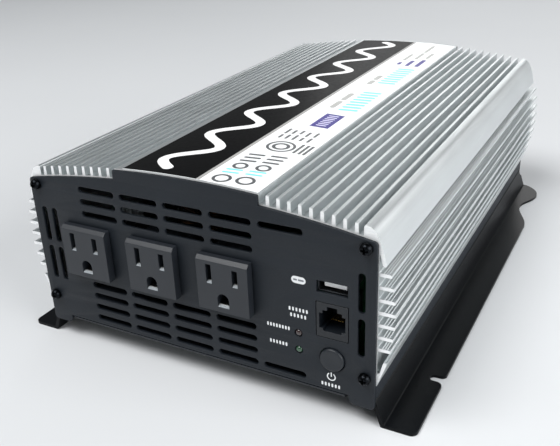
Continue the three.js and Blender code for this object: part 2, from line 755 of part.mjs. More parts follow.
function slotBottom(kind) {
  if (kind === 'earth') return EARTH_HEIGHT - EARTH_TALL / 2;
  return BLADE_HEIGHT - (kind === 'neutral' ? NEUTRAL_SLOT : LIVE_SLOT) / 2;
}

function slotX(kind) {
  if (kind === 'earth') return 0;
  return kind === 'neutral' ? -BLADE_SPACING / 2 : BLADE_SPACING / 2;
}

function slotWidth(kind) {
  return kind === 'earth' ? EARTH_WIDTH : BLADE_SLOT_WIDTH;
}

function bladeCut(x, kind) {
  const centre = x + slotX(kind);
  const half = BLADE_SLOT_WIDTH / 2;
  const bottom = slotBottom(kind);
  const height = kind === 'neutral' ? NEUTRAL_SLOT : LIVE_SLOT;
  const x0 = centre - half;
  return box(x0, x0 + BLADE_SLOT_WIDTH, -OUTLET_PROUD - 1, OUTLET_DEPTH + 1, bottom, bottom + height);
}

function earthCut(x) {
  const half = EARTH_WIDTH / 2;
  const bottom = slotBottom('earth');
  const spring = bottom + EARTH_TALL - half;
  const shape = new THREE.Shape();
  shape.moveTo(x - half, bottom);
  shape.lineTo(x + half, bottom);
  shape.lineTo(x + half, spring);
  shape.absarc(x, spring, half, 0, Math.PI, false);
  return extrudeY(shape, -OUTLET_PROUD - 1, OUTLET_DEPTH + 1, 4);
}

// A bevelled block in front of the panel on a plain block behind it.
function outlet(index) {
  const x = outletX(index);
  const half = OUTLET_WIDTH / 2;
  const back = -GAP;
  const front = -OUTLET_PROUD;
  const side = shapeOf([
    [front, OUTLET_BOTTOM],
    [back, OUTLET_BOTTOM],
    [back, OUTLET_TOP],
    [front + OUTLET_BEVEL, OUTLET_TOP],
    [front, OUTLET_TOP - OUTLET_BEVEL],
  ]);
  const face = extrudeX(side, x - half, x + half);
  const neck = half - OUTLET_INSTEP;
  const low = OUTLET_BOTTOM + OUTLET_INSTEP;
  const high = OUTLET_TOP - OUTLET_INSTEP;
  const body = box(x - neck, x + neck, back - 0.5, OUTLET_DEPTH, low, high);
  return cut(join(face, body), bladeCut(x, 'neutral'), bladeCut(x, 'live'), earthCut(x));
}

// One strip behind the outlets carries a contact for each of them. The three strips lie
// one above the other, so no contact crosses another kind's strip.
function contactStrip(kind) {
  const y0 = OUTLET_DEPTH + GAP;
  const y1 = y0 + CONTACT;
  const z = slotBottom(kind) + GAP;
  const stripBottom = z + { neutral: 2.6, live: -5.8, earth: 0 }[kind];
  const half = slotWidth(kind) / 2 - GAP;
  const first = outletX(0) + slotX(kind) - half;
  const last = outletX(OUTLET_COUNT - 1) + slotX(kind) + half;
  const strip = box(first, last, y0, y1, stripBottom, stripBottom + STRIP_HEIGHT);
  const pieces = [];
  for (let i = 0; i < OUTLET_COUNT; i += 1) {
    const x = outletX(i) + slotX(kind);
    const low = Math.min(z, stripBottom + 1);
    const high = Math.max(z + CONTACT, stripBottom + 1);
    pieces.push(box(x - half, x + half, -OUTLET_PROUD + CONTACT_SET_BACK, y1, z, z + CONTACT));
    pieces.push(box(x - half, x + half, y0, y1, low, high));
  }
  return join(strip, ...pieces);
}

// ---- Controls ----

function usbShell() {
  const halfW = USB.width / 2;
  const halfH = USB.height / 2;
  const y0 = SHEET + GAP;
  const y1 = y0 + USB.depth - 2 * GAP;
  const w = USB.wall;
  const outer = box(controlX - halfW, controlX + halfW, y0, y1, USB.z - halfH, USB.z + halfH);
  const room = halfW - w;
  const inner = box(controlX - room, controlX + room, y0 - 1, y1 - w, USB.z - halfH + w, USB.z + halfH - w);
  return cut(outer, inner);
}

function usbTongue() {
  const top = USB.z + USB.height / 2 - USB.wall - GAP;
  const half = USB.width / 2 - USB.wall - 1;
  const back = SHEET + GAP + USB.depth - 2 * GAP - USB.wall - GAP;
  return box(controlX - half, controlX + half, SHEET + GAP + 1, back, top - 2.2, top);
}

// The stepped opening that takes a modular plug, latch upwards.
function plugCut() {
  const x = controlX;
  const half = PLUG_WIDTH / 2;
  const bottom = JACK.z - PLUG_HEIGHT / 2 - 0.6;
  const top = bottom + PLUG_HEIGHT;
  const shape = shapeOf([
    [x - half, bottom + 0.9], [x - half + 1.5, bottom + 0.9], [x - half + 1.5, bottom],
    [x + half - 1.5, bottom], [x + half - 1.5, bottom + 0.9], [x + half, bottom + 0.9],
    [x + half, top], [x + half - 1.6, top], [x + half - 1.6, top + 1.4],
    [x + 2, top + 1.4], [x + 2, top + 3], [x - 2, top + 3],
    [x - 2, top + 1.4], [x - half + 1.6, top + 1.4], [x - half + 1.6, top], [x - half, top],
  ]);
  return extrudeY(shape, -1, JACK.depth - 2.5);
}

function remoteJack() {
  const halfW = JACK.width / 2;
  const halfH = JACK.height / 2;
  const block = box(controlX - halfW, controlX + halfW, 0, JACK.depth, JACK.z - halfH, JACK.z + halfH);
  return cut(block, plugCut());
}

// Six sprung wires on a common carrier, rising towards the back of the jack.
function jackContacts() {
  const bottom = JACK.z - PLUG_HEIGHT / 2 - 0.6;
  const back = JACK.depth - 2.5 - GAP;
  const pitch = 1.02;
  const wires = [];
  for (let i = 0; i < 6; i += 1) {
    const x = controlX + (i - 2.5) * pitch;
    const shape = shapeOf([
      [4, bottom + 1.3], [4.6, bottom + 1.3], [back - 0.4, bottom + 4.6],
      [back - 0.4, bottom + 5.4], [4, bottom + 2],
    ]);
    wires.push(extrudeX(shape, x - 0.25, x + 0.25));
  }
  const half = 2.5 * pitch + 0.25;
  const carrier = box(controlX - half, controlX + half, back - 1.2, back, bottom + 3.6, bottom + 5.6);
  return join(carrier, ...wires);
}

function powerButton() {
  const { radius: r, cap, stem, stemEnd } = BUTTON;
  const y0 = -BUTTON.proud;
  const profile = [
    [0, y0], [r - 1, y0], [r - 0.3, y0 + 0.3], [r, y0 + 1],
    [r, cap], [stem, cap], [stem, stemEnd], [0, stemEnd],
  ];
  return turnedY(profile, controlX, BUTTON.z, 20);
}

// The switch takes the button's stem in a bore that leaves room for its travel.
function switchBody() {
  const { z, cap, travel, stem, stemEnd } = BUTTON;
  const y0 = cap + travel + SPRING_ROOM;
  const half = SWITCH_WIDTH / 2;
  const block = box(controlX - half, controlX + half, y0, controlBoardY - GAP, z - half, z + half);
  return cut(block, cylinderY(stem + GAP, controlX, z, y0 - 1, stemEnd + travel + 1, 16));
}

function buttonSpring() {
  const y0 = BUTTON.cap + BUTTON.travel + GAP;
  const y1 = y0 + SPRING_ROOM - 2 * GAP;
  const points = [];
  const turns = 1.5;
  const perTurn = 10;
  for (let i = 0; i <= turns * perTurn; i += 1) {
    const angle = (2 * Math.PI * i) / perTurn;
    const y = y0 + 0.2 + ((y1 - y0 - 0.4) * i) / (turns * perTurn);
    points.push([controlX + 3 * Math.cos(angle), y, BUTTON.z + 3 * Math.sin(angle)]);
  }
  return bar(points, 0.15, 18, 4);
}

function led(z) {
  const r = LED.radius;
  const collarFront = SHEET + 1.5;
  const collarBack = collarFront + 1;
  const collar = r + LED.collar;
  const profile = [
    [0, -0.4], [r * 0.6, -0.2], [r, 0.6], [r, collarFront],
    [collar, collarFront], [collar, collarBack], [0, collarBack],
  ];
  return turnedY(profile, panelEdge - LED.inset, z, 12);
}

function controlBoard() {
  return box(panelEdge - 40, panelEdge - 9, controlBoardY, controlBoardY + BOARD, 5, 60);
}

// ---- Fans ----

function fanFrame(side) {
  const x = fanX(side);
  const half = FAN_SIZE / 2;
  const y1 = fanRear;
  const y0 = y1 - FAN_DEPTH;
  const shell = cut(
    box(x - half, x + half, y0, y1, fanHeight - half, fanHeight + half),
    cylinderY(fanBore, x, fanHeight, y0 - 1, y1 + 1, 24),
  );
  const reach = fanBore + 0.5;
  const struts = join(
    cylinderY(HUB_RADIUS, x, fanHeight, y0, y0 + STRUT_DEPTH, 20),
    box(x - reach, x + reach, y0, y0 + STRUT_DEPTH, fanHeight - 1.2, fanHeight + 1.2),
    box(x - 1.2, x + 1.2, y0, y0 + STRUT_DEPTH, fanHeight - reach, fanHeight + reach),
  );
  const axleBore = cylinderY(FAN_AXLE + GAP, x, fanHeight, y0 - 1, y0 + STRUT_DEPTH + 1, 12);
  return cut(join(shell, struts), axleBore);
}

function fanRotor(side) {
  const x = fanX(side);
  const y0 = fanRear - FAN_DEPTH;
  const front = y0 + STRUT_DEPTH + 2 * GAP;
  const back = fanRear - 1.5;
  const hub = cylinderY(HUB_RADIUS, x, fanHeight, front, back, 20);
  const axle = cylinderY(FAN_AXLE, x, fanHeight, y0, front + 1, 12);
  const blades = [];
  const span = fanBore - 1 - HUB_RADIUS + 1;
  for (let i = 0; i < BLADE_COUNT; i += 1) {
    const blade = new THREE.BoxGeometry(span, 1, (back - front) * 1.05);
    blade.translate(HUB_RADIUS - 1 + span / 2, 0, 0);
    blade.rotateX(0.72);
    blade.rotateX(Math.PI / 2);
    blade.rotateY((2 * Math.PI * i) / BLADE_COUNT);
    blades.push(blade.translate(x, (front + back) / 2, fanHeight));
  }
  return join(hub, axle, ...blades);
}

// Wire rings on a cross whose ends reach the fan's corner screws.
function fanGuard(side) {
  const x = fanX(side);
  const y = rearFace + GAP + GUARD_WIRE;
  const rim = fanBore - 0.4;
  const rings = [HUB_RADIUS, (HUB_RADIUS + rim) / 2, rim].map((radius) =>
    new THREE.TorusGeometry(radius, GUARD_WIRE, 5, 20).rotateX(Math.PI / 2).translate(x, y, fanHeight));
  const reach = FAN_SIZE / 2 - GUARD_INSET;
  const spokes = [-1, 1].map((tilt) =>
    new THREE.BoxGeometry(2 * reach * Math.SQRT2, GUARD_WIRE * 1.2, GUARD_WIRE * 1.6)
      .rotateY((tilt * Math.PI) / 4).translate(x, y, fanHeight));
  const eyes = [];
  for (const sx of [-1, 1]) {
    for (const sz of [-1, 1]) {
      const centre = [x + sx * reach, fanHeight + sz * reach];
      eyes.push(cylinderY(3, ...centre, y - GUARD_WIRE, y + GUARD_WIRE, 8));
    }
  }
  return join(rings[0], ...rings.slice(1), ...spokes, ...eyes);
}

// ---- Battery terminals ----

function terminalBase(side) {
  const x = side * TERMINAL_X;
  const y0 = rearFace + GAP;
  const { width, height, depth } = TERMINAL_BASE;
  const bottom = TERMINAL_HEIGHT - height / 2;
  const plate = box(x - width / 2, x + width / 2, y0, y0 + depth, bottom, bottom + height);
  const sleeve = cylinderY(STUD_RADIUS + 2, x, TERMINAL_HEIGHT, rearFace - SHEET - 2, y0 + 1, 20);
  const bore = cylinderY(STUD_RADIUS + GAP, x, TERMINAL_HEIGHT, rearFace - 10, rearFace + 20, 20);
  return cut(join(plate, sleeve), bore);
}

function terminalStud(side) {
  const r = STUD_RADIUS;
  const y0 = rearFace - STUD_INSIDE;
  const y1 = rearFace + STUD_PROUD;
  const profile = [
    [0, y0], [r + 2.5, y0], [r + 2.5, y0 + 6], [r, y0 + 6], [r, y1 - 0.8], [r - 0.8, y1], [0, y1],
  ];
  return turnedY(profile, side * TERMINAL_X, TERMINAL_HEIGHT, 20);
}

// A thumb nut with grip ribs round its rim.
function terminalKnob(side) {
  const y0 = rearFace + GAP + TERMINAL_BASE.depth + GAP;
  const y1 = y0 + KNOB_LENGTH;
  const x = side * TERMINAL_X;
  const bore = STUD_RADIUS + GAP;
  const shape = new THREE.Shape();
  const ribs = 16;
  for (let i = 0; i < ribs * 2; i += 1) {
    const angle = (Math.PI * i) / ribs;
    const r = i % 2 ? KNOB_RADIUS : KNOB_RADIUS - 0.8;
    const point = [x + r * Math.cos(angle), TERMINAL_HEIGHT + r * Math.sin(angle)];
    if (i) shape.lineTo(...point);
    else shape.moveTo(...point);
  }
  shape.holes.push(roundPath(x, TERMINAL_HEIGHT, bore));
  return extrudeY(shape, y0, y1, 8);
}

function earthStud() {
  const r = EARTH_STUD.radius;
  const y1 = rearFace + EARTH_STUD.proud;
  const y0 = rearFace + GAP;
  const profile = [
    [0, rearFace - 8], [r, rearFace - 8], [r, y0], [5.5, y0], [5.5, y0 + 1.2],
    [4.4, y0 + 1.3], [4.4, y0 + 5], [r, y0 + 5.2], [r, y1], [0, y1],
  ];
  return turnedY(profile, 0, EARTH_STUD.z, 12);
}

// ---- Inside ----

function mainBoard() {
  return box(-boardHalfWidth, boardHalfWidth, MAIN_BOARD_FRONT, boardRear, MAIN_BOARD_BOTTOM, boardTop);
}

function coreAt(x, y) {
  const z0 = boardTop + GAP;
  const halfW = CORE.width / 2;
  const leg = CORE.leg / 2;
  const block = box(x - halfW, x + halfW, y - CORE.depth / 2, y + CORE.depth / 2, z0, z0 + CORE.height);
  const windows = [-1, 1].map((side) => {
    const near = x + side * leg;
    const far = x + side * (halfW - CORE.side);
    const [x0, x1] = [Math.min(near, far), Math.max(near, far)];
    return box(x0, x1, y - CORE.depth, y + CORE.depth, z0 + CORE.yoke, z0 + CORE.height - CORE.yoke);
  });
  return cut(block, ...windows);
}

function windingAt(x, y) {
  const z0 = boardTop + GAP + CORE.yoke + GAP;
  const z1 = boardTop + GAP + CORE.height - CORE.yoke - GAP;
  const halfW = CORE.width / 2 - CORE.side - GAP;
  const grow = halfW - CORE.leg / 2;
  const halfD = CORE.depth / 2 + grow;
  const leg = CORE.leg / 2 + GAP;
  const outer = new THREE.Shape();
  const r = 4;
  outer.moveTo(x - halfW + r, y - halfD);
  outer.lineTo(x + halfW - r, y - halfD);
  outer.quadraticCurveTo(x + halfW, y - halfD, x + halfW, y - halfD + r);
  outer.lineTo(x + halfW, y + halfD - r);
  outer.quadraticCurveTo(x + halfW, y + halfD, x + halfW - r, y + halfD);
  outer.lineTo(x - halfW + r, y + halfD);
  outer.quadraticCurveTo(x - halfW, y + halfD, x - halfW, y + halfD - r);
  outer.lineTo(x - halfW, y - halfD + r);
  outer.quadraticCurveTo(x - halfW, y - halfD, x - halfW + r, y - halfD);
  const hole = CORE.depth / 2 + GAP;
  outer.holes.push(rectPath(x - leg, x + leg, y - hole, y + hole));
  return extrudeZ(outer, z0, z1, 4);
}

function capacitor({ x, radius, height }, y) {
  const z0 = boardTop + GAP;
  const z1 = z0 + height;
  const dish = z1 - 0.6;
  const profile = [
    [0, z0], [radius, z0], [radius, z1 - 1], [radius - 1, z1],
    [radius - 2.4, z1], [radius - 3, dish], [0, dish],
  ];
  return turnedZ(profile, x, y, 20);
}

// A clamp bar against the wall with its row of power transistors.
function transistorRow(side) {
  const wall = wallInner - GAP;
  const from = MAIN_BOARD_FRONT + 16;
  const to = boardRear - 30;
  const barInner = wall - 4;
  const place = (a, b) => (side > 0 ? [a, b] : [-b, -a]);
  const clamp = box(...place(barInner, wall), from, to, 22, 36);
  const count = 8;
  const pitch = (to - from) / count;
  const packages = [];
  for (let i = 0; i < count; i += 1) {
    const y = from + pitch * (i + 0.5);
    packages.push(box(...place(barInner - 4, barInner + 0.5), y - 5, y + 5, 20, 34));
  }
  return join(clamp, ...packages);
}

function choke() {
  const { beside, y, radius, thickness } = CHOKE;
  const ring = new THREE.TorusGeometry(radius, thickness, 8, 16).rotateY(Math.PI / 2);
  return ring.translate(outletX(1) - beside, MAIN_BOARD_FRONT + y, boardTop + GAP + radius + thickness);
}

function batteryLead(side) {
  const x = side * TERMINAL_X;
  const y0 = rearFace - STUD_INSIDE - GAP;
  const z0 = TERMINAL_HEIGHT;
  const z1 = boardTop + GAP;
  const end = y0 - 19;
  const points = [[x, y0, z0], [x, y0 - 8, z0], [x, end + 2, z0 - 9], [x, end, z0 - 22], [x, end, z1]];
  return bar(points, BATTERY_LEAD_RADIUS, 10, 8);
}

function outletLead() {
  const y0 = OUTLET_DEPTH + CONTACT + 2 * GAP;
  const x = outletX(1);
  const z0 = boardTop + GAP;
  const z1 = BLADE_HEIGHT - 4;
  const start = MAIN_BOARD_FRONT + 8;
  const points = [[x, start, z0], [x, start, z0 + 14], [x, y0 + 8, z1], [x, y0, z1]];
  return bar(points, OUTLET_LEAD_RADIUS, 10, 8);
}

// ---- Assembly ----

addPart('housing_extrusion', housing(), 'aluminium');
addPart('top_label', label(), 'label');
addPart('base_tray', tray(), 'powderCoat');
addPart('front_panel', frontPanel(), 'powderCoat');
addPart('rear_panel', rearPanel(), 'powderCoat');
addPart('foot_right', rightFoot(), 'footCoat');
addPart('foot_left', mirrorX(rightFoot()), 'footCoat');

screwPlaces().forEach(([x, z], i) => {
  addPart(`front_screw_${i + 1}`, panelScrew(x, z), 'blackScrew');
  const rear = panelScrew(-x, z).rotateZ(Math.PI).translate(0, rearFace, 0);
  addPart(`rear_screw_${i + 1}`, rear, 'blackScrew');
});

for (let i = 0; i < OUTLET_COUNT; i += 1) addPart(`outlet_${i + 1}`, outlet(i), 'outletPlastic');
for (const kind of ['neutral', 'live', 'earth']) {
  addPart(`${kind}_contact_strip`, contactStrip(kind), 'plated');
}

addPart('usb_shell', usbShell(), 'plated');
addPart('usb_tongue', usbTongue(), 'whitePlastic');
addPart('remote_jack', remoteJack(), 'blackPlastic');
addPart('jack_contacts', jackContacts(), 'brass');
addPart('power_button', powerButton(), 'blackPlastic');
addPart('power_switch', switchBody(), 'blackPlastic');
addPart('button_spring', buttonSpring(), 'plated');
addPart('protect_led', led(LED.heights[0]), 'redLens');
addPart('power_led', led(LED.heights[1]), 'greenLens');
addPart('control_board', controlBoard(), 'circuitBoard');

for (const [side, word] of [[-1, 'left'], [1, 'right']]) {
  addPart(`fan_frame_${word}`, fanFrame(side), 'blackPlastic');
  addPart(`fan_rotor_${word}`, fanRotor(side), 'blackPlastic');
  addPart(`fan_guard_${word}`, fanGuard(side), 'plated');
  addPart(`transistor_row_${word}`, transistorRow(side), 'aluminium');
}

for (const [side, word] of [[-1, 'negative'], [1, 'positive']]) {
  const plastic = side > 0 ? 'redPlastic' : 'blackPlastic';
  addPart(`${word}_terminal_base`, terminalBase(side), plastic);
  addPart(`${word}_terminal_stud`, terminalStud(side), 'brass');
  addPart(`${word}_terminal_knob`, terminalKnob(side), plastic);
  addPart(`${word}_battery_lead`, batteryLead(side), plastic);
}
addPart('earth_stud', earthStud(), 'plated');

addPart('main_board', mainBoard(), 'circuitBoard');
for (let i = 0; i < TRANSFORMERS.count; i += 1) {
  const y = MAIN_BOARD_FRONT + TRANSFORMERS.first + TRANSFORMERS.pitch * i;
  addPart(`transformer_core_${i + 1}`, coreAt(TRANSFORMERS.x, y), 'ferrite');
  addPart(`transformer_winding_${i + 1}`, windingAt(TRANSFORMERS.x, y), 'winding');
}
addPart('output_choke', choke(), 'winding');
for (let i = 0; i < 2; i += 1) {
  const bus = MAIN_BOARD_FRONT + BUS_CAPACITORS.first + BUS_CAPACITORS.pitch * i;
  const input = boardRear - INPUT_CAPACITORS.last - INPUT_CAPACITORS.pitch * i;
  addPart(`bus_capacitor_${i + 1}`, capacitor(BUS_CAPACITORS, bus), 'capacitorSleeve');
  addPart(`input_capacitor_${i + 1}`, capacitor(INPUT_CAPACITORS, input), 'capacitorSleeve');
}
addPart('outlet_lead', outletLead(), 'blackPlastic');

const whole = new THREE.Group();
whole.add(inverter);
inverter.position.set(0, -(BODY_LENGTH + STUD_PROUD - OUTLET_PROUD) / 2, FOOT_DROP);

export default whole;
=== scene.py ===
from functools import cache
from math import asin, cos, pi, radians, sin, sqrt, tau
from typing import NamedTuple

import bmesh
import bpy
from bpy.props import FloatProperty, FloatVectorProperty, PointerProperty
from mathutils import Matrix, Vector


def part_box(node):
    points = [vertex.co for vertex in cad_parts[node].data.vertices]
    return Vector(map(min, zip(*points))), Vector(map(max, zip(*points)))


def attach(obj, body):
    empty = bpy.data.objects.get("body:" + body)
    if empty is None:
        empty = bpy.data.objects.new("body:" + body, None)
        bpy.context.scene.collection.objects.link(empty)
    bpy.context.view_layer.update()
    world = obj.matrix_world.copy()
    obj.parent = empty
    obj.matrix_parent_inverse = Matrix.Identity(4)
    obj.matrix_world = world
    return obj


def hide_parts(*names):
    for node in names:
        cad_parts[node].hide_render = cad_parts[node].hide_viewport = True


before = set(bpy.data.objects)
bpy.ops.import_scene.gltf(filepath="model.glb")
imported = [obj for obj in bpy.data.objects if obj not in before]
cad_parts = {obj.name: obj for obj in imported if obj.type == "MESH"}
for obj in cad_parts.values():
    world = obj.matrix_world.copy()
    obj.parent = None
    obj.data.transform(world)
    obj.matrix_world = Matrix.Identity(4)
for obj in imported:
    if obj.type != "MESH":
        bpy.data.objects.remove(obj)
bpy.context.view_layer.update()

bl_info = {
    "name": "Power Inverter",
    "version": (1, 0, 0),
    "blender": (4, 5, 0),
    "location": "3D View > Sidebar > Inverter",
    "description": "Builds a finned DC to AC power inverter piece by piece on its CAD frame",
    "category": "Add Mesh",
}

MM = 0.001
EAR_DROP = 2.0  # the panels' outer corners reach this far below their folds
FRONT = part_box("front_panel")[0][1]
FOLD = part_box("front_panel")[0][2] + EAR_DROP * MM


# ---- Places: in millimetres from the middle of the front panel's foot ----

def point(x, y, z):
    """A place in metres in the model's frame."""
    return Vector((x * MM, FRONT + y * MM, FOLD + z * MM))


def spot(node):
    """A CAD node's lowest and highest corners in those millimetres."""
    return [Vector((c[0] / MM, (c[1] - FRONT) / MM, (c[2] - FOLD) / MM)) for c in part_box(node)]


def middle(node):
    """The middle of a CAD node's box."""
    low, high = spot(node)
    return (low + high) / 2


EDGE = spot("front_panel")[1].x
CROWN = spot("front_panel")[1].z
REAR = (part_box("rear_panel")[1][1] - FRONT) / MM
GAP = 0.3            # clearance between parts that are screwed together
SHEET = 1.5          # thickness of the panels and feet
ARCH_RADIUS = 480.0  # of the housing's slightly crowned top
BAND_HALF = 35.7     # half width of the raised band
BAND_STEP = 4.3      # height of the band over the grooves beside it
WALL = 2.6           # of the housing
SHARP = 32           # degrees between faces whose shared edge stays sharp
HOUSING_CROWN = CROWN + GAP
GROOVE_CROWN = HOUSING_CROWN - BAND_STEP
WALL_OUTER = EDGE + 0.2
SCREW_X = middle("front_screw_2").x
SCREW_HIGH = middle("front_screw_2").z
SCREW_LOW = middle("front_screw_4").z


def arch(x, crown):
    """Height of the crowned top at x, for a surface whose middle is at crown."""
    return crown - ARCH_RADIUS + sqrt(ARCH_RADIUS ** 2 - x * x)


def arch_run(x0, x1, crown, steps):
    """Points along the crowned top from x0 to x1."""
    return [(x, arch(x, crown)) for x in (x0 + (x1 - x0) * i / steps for i in range(steps + 1))]


def bezier(a, b, c, d, steps):
    """Points of a cubic curve after its first one."""
    points = []
    for i in range(1, steps + 1):
        t = i / steps
        s = 1 - t
        points.append(tuple(s ** 3 * p + 3 * s * s * t * q + 3 * s * t * t * r + t ** 3 * e
                            for p, q, r, e in zip(a, b, c, d)))
    return points


def arc(cx, cy, radius, start, end, steps):
    """Points along an arc between two angles in degrees."""
    angles = [radians(start + (end - start) * i / steps) for i in range(steps + 1)]
    return [(cx + radius * cos(a), cy + radius * sin(a)) for a in angles]


def round_loop(cx, cy, radius, count):
    """Evenly spaced points all the way round a circle."""
    return arc(cx, cy, radius, 0, 360 - 360 / count, count - 1)


def mirrored(half):
    """A closed outline from its right half, whose ends lie on the centre line."""
    return half + [(-x, z) for x, z in reversed(half[1:-1])]


def rounded_box(x0, x1, z0, z1, r, steps=4):
    corners = [(x1 - r, z1 - r, 0), (x0 + r, z1 - r, 90),
               (x0 + r, z0 + r, 180), (x1 - r, z0 + r, 270)]
    return [p for x, z, a in corners for p in arc(x, z, r, a, a + 90, steps)]


def slot_loop(x, z, length, width, upright=False):
    """A slot with round ends."""
    r = width / 2
    reach = length / 2 - r
    if upright:
        return arc(x, z + reach, r, 0, 180, 10) + arc(x, z - reach, r, 180, 360, 10)
    return arc(x + reach, z, r, -90, 90, 10) + arc(x - reach, z, r, 90, 270, 10)


# ---- Sizes and colours that a user would change ----

class InverterSizes(bpy.types.PropertyGroup):
    edge_break: FloatProperty(name="Edge break",
                              description="Round on the cut edges of sheet steel",
                              default=0.16 * MM, min=0.05 * MM, max=0.5 * MM, unit="LENGTH")
    wave_height: FloatProperty(name="Wave height",
                               description="Height of the wave printed on the black band",
                               default=16 * MM, min=4 * MM, max=24 * MM, unit="LENGTH")
    wave_stroke: FloatProperty(name="Wave stroke", description="Line width of the printed wave",
                               default=5 * MM, min=1 * MM, max=8 * MM, unit="LENGTH")


def linear(code):
    """Linear colour from an sRGB hex value."""
    parts = [int(code[i:i + 2], 16) / 255 for i in (1, 3, 5)]
    return tuple(c / 12.92 if c <= 0.04045 else ((c + 0.055) / 1.055) ** 2.4 for c in parts)


def colour(name, code, description):
    return FloatVectorProperty(name=name, description=description, subtype="COLOR", size=3,
                               min=0, max=1, default=linear(code))


class InverterColours(bpy.types.PropertyGroup):
    aluminium: colour("Aluminium", "#dce0e1", "Clear anodised housing")
    panel: colour("Panel", "#1a1f25", "Powder coat on the end panels")
    feet: colour("Feet", "#05070a", "Powder coat on the mounting feet")
    outlet: colour("Outlet", "#20242a", "Moulded outlet faces")
    floor: colour("Floor", "#d8dadc", "Studio floor")


def sizes():
    return bpy.context.scene.inverter_sizes


def colours():
    return bpy.context.scene.inverter_colours


# ---- Finishes ----

class Pattern(NamedTuple):
    """A noise: the size of its grains in millimetres, and how much longer they are on each axis."""
    size: float
    detail: float = 2.0
    roughness: float = 0.5
    stretch: tuple = (1, 1, 1)


HAZE = Pattern(22)      # broad clouds in an anodised surface's gloss
DUST = Pattern(0.5, 0)  # specks on a powder coat, drawn larger than real dust so that they show
DUST_RANGE = {"From Min": 0.72, "From Max": 0.8, "To Max": 0.22}  # only a noise's few highest peaks
FULL_RANGE = {"From Min": 0.3, "From Max": 0.7}  # nearly all of a noise lies between these
PLASTIC_IOR = 1.5
EPOXY_IOR = 1.55


def add(tree, kind, links=None, out=0, **settings):
    """Adds a shader node and returns one of its outputs.

    links gives its sockets a value or another node's output, and settings its properties."""
    node = tree.nodes.new("ShaderNode" + kind)
    for key, value in settings.items():
        setattr(node, key, value)
    for key, value in (links or {}).items():
        socket = node.inputs[key]
        if isinstance(value, bpy.types.NodeSocket):
            tree.links.new(value, socket)
        elif isinstance(value, tuple) and len(value) == 3 and len(socket.default_value) == 4:
            socket.default_value = (*value, 1)
        else:
            socket.default_value = value
    return node.outputs[out] if node.outputs else None


def started(name):
    """A new material, its empty node tree and its object coordinates."""
    material = bpy.data.materials.new(name)
    material.use_nodes = True
    tree = material.node_tree
    tree.nodes.clear()
    return material, tree, add(tree, "TexCoord", out="Object")


def finished(tree, **sockets):
    """Ends a material with one shader; a socket's spaces are written as underscores."""
    shader = add(tree, "BsdfPrincipled",
                 {key.replace("_", " "): value for key, value in sockets.items()})
    add(tree, "OutputMaterial", {"Surface": shader})


def per(size):
    """Texture scale for a pattern whose cells measure this many millimetres."""
    return 1 / (size * MM)


def shade(tone, share):
    return tuple(min(1.0, c * share) for c in tone)


def surfaced(name, tones, grain, rough, depth, strength, cloud=None, haze=0, dust=None, **sockets):
    """A material whose relief and gloss follow a fine grain, and whose tone drifts between two.

    The tones follow the broad cloud where there is one, and the grain where there is none. rough
    is the roughness at the grain's lows and highs, or one number. depth is the relief's, in
    millimetres. haze is how much roughness broad clouds add, and dust the colour of fine specks."""
    material, tree, at = started(name)
    noise = {}
    for pattern in (grain, cloud, haze and HAZE, dust and DUST):
        if pattern and pattern not in noise:
            place = add(tree, "Mapping",
                        {"Vector": at, "Scale": tuple(1 / s for s in pattern.stretch)})
            noise[pattern] = add(tree, "TexNoise", {"Vector": place, "Scale": per(pattern.size),
                                                    "Detail": pattern.detail,
                                                    "Roughness": pattern.roughness})
    drift = add(tree, "MapRange", {"Value": noise[cloud or grain], **FULL_RANGE})
    base = add(tree, "Mix", {0: drift, 6: tones[0], 7: tones[1]}, out=2, data_type="RGBA")
    if dust:
        specks = add(tree, "MapRange", {"Value": noise[DUST], **DUST_RANGE})
        base = add(tree, "Mix", {0: specks, 6: base, 7: dust}, out=2, data_type="RGBA")
    if isinstance(rough, tuple):
        rough = add(tree, "MapRange",
                    {"Value": noise[grain], **FULL_RANGE, "To Min": rough[0], "To Max": rough[1]})
    if haze:
        cloudy = add(tree, "MapRange", {"Value": noise[HAZE], **FULL_RANGE, "To Max": haze})
        rough = add(tree, "Math", {0: rough, 1: cloudy}, operation="ADD")
    normal = add(tree, "Bump",
                 {"Height": noise[grain], "Distance": depth * MM, "Strength": strength})
    finished(tree, Base_Color=base, Roughness=rough, Normal=normal, **sockets)
    return material


@cache
def anodised_aluminium():
    """Extruded and clear anodised: a soft satin metal with die lines along its length.

    Real die lines are finer than a tenth of a millimetre; these are coarser so that they show."""
    tone = tuple(colours().aluminium)
    return surfaced("anodised_extruded_aluminium", (shade(tone, 0.97), tone),
                    Pattern(0.7, 1, stretch=(1, 900, 1)),
                    (0.38, 0.43), 0.006, 0.4, haze=0.05, Metallic=1.0)


@cache
def sawn_aluminium():
    """The extrusion's cut ends: bright, with the saw's fine marks across them."""
    return surfaced("sawn_aluminium", (linear("#eef1f2"), linear("#ffffff")),
                    Pattern(0.25, stretch=(60, 1, 1)),
                    (0.42, 0.55), 0.01, 0.6, Metallic=0.35)


def powder_coat(name, tone, rough, grain, sheen):
    """Baked polyester powder on steel: even and slightly pebbled, with a dust of light specks."""
    return surfaced(name, (shade(tone, 0.9), shade(tone, 1.12)), Pattern(grain, 3, 0.55),
                    (rough - 0.05, rough + 0.07), 0.05, 0.5, cloud=Pattern(38),
                    dust=shade(tone, 4), IOR=PLASTIC_IOR, Specular_IOR_Level=sheen)


@cache
def charcoal_powder_coat():
    """The end panels' coat: nearly matte, so the panel reads as one quiet dark field."""
    return powder_coat("charcoal_powder_coated_steel", tuple(colours().panel), 0.5, 0.9, 0.3)


@cache
def black_powder_coat():
    """The feet's coat: blacker and smoother, with a soft shine along the folds."""
    return powder_coat("satin_black_powder_coated_steel", tuple(colours().feet), 0.32, 0.7, 0.12)


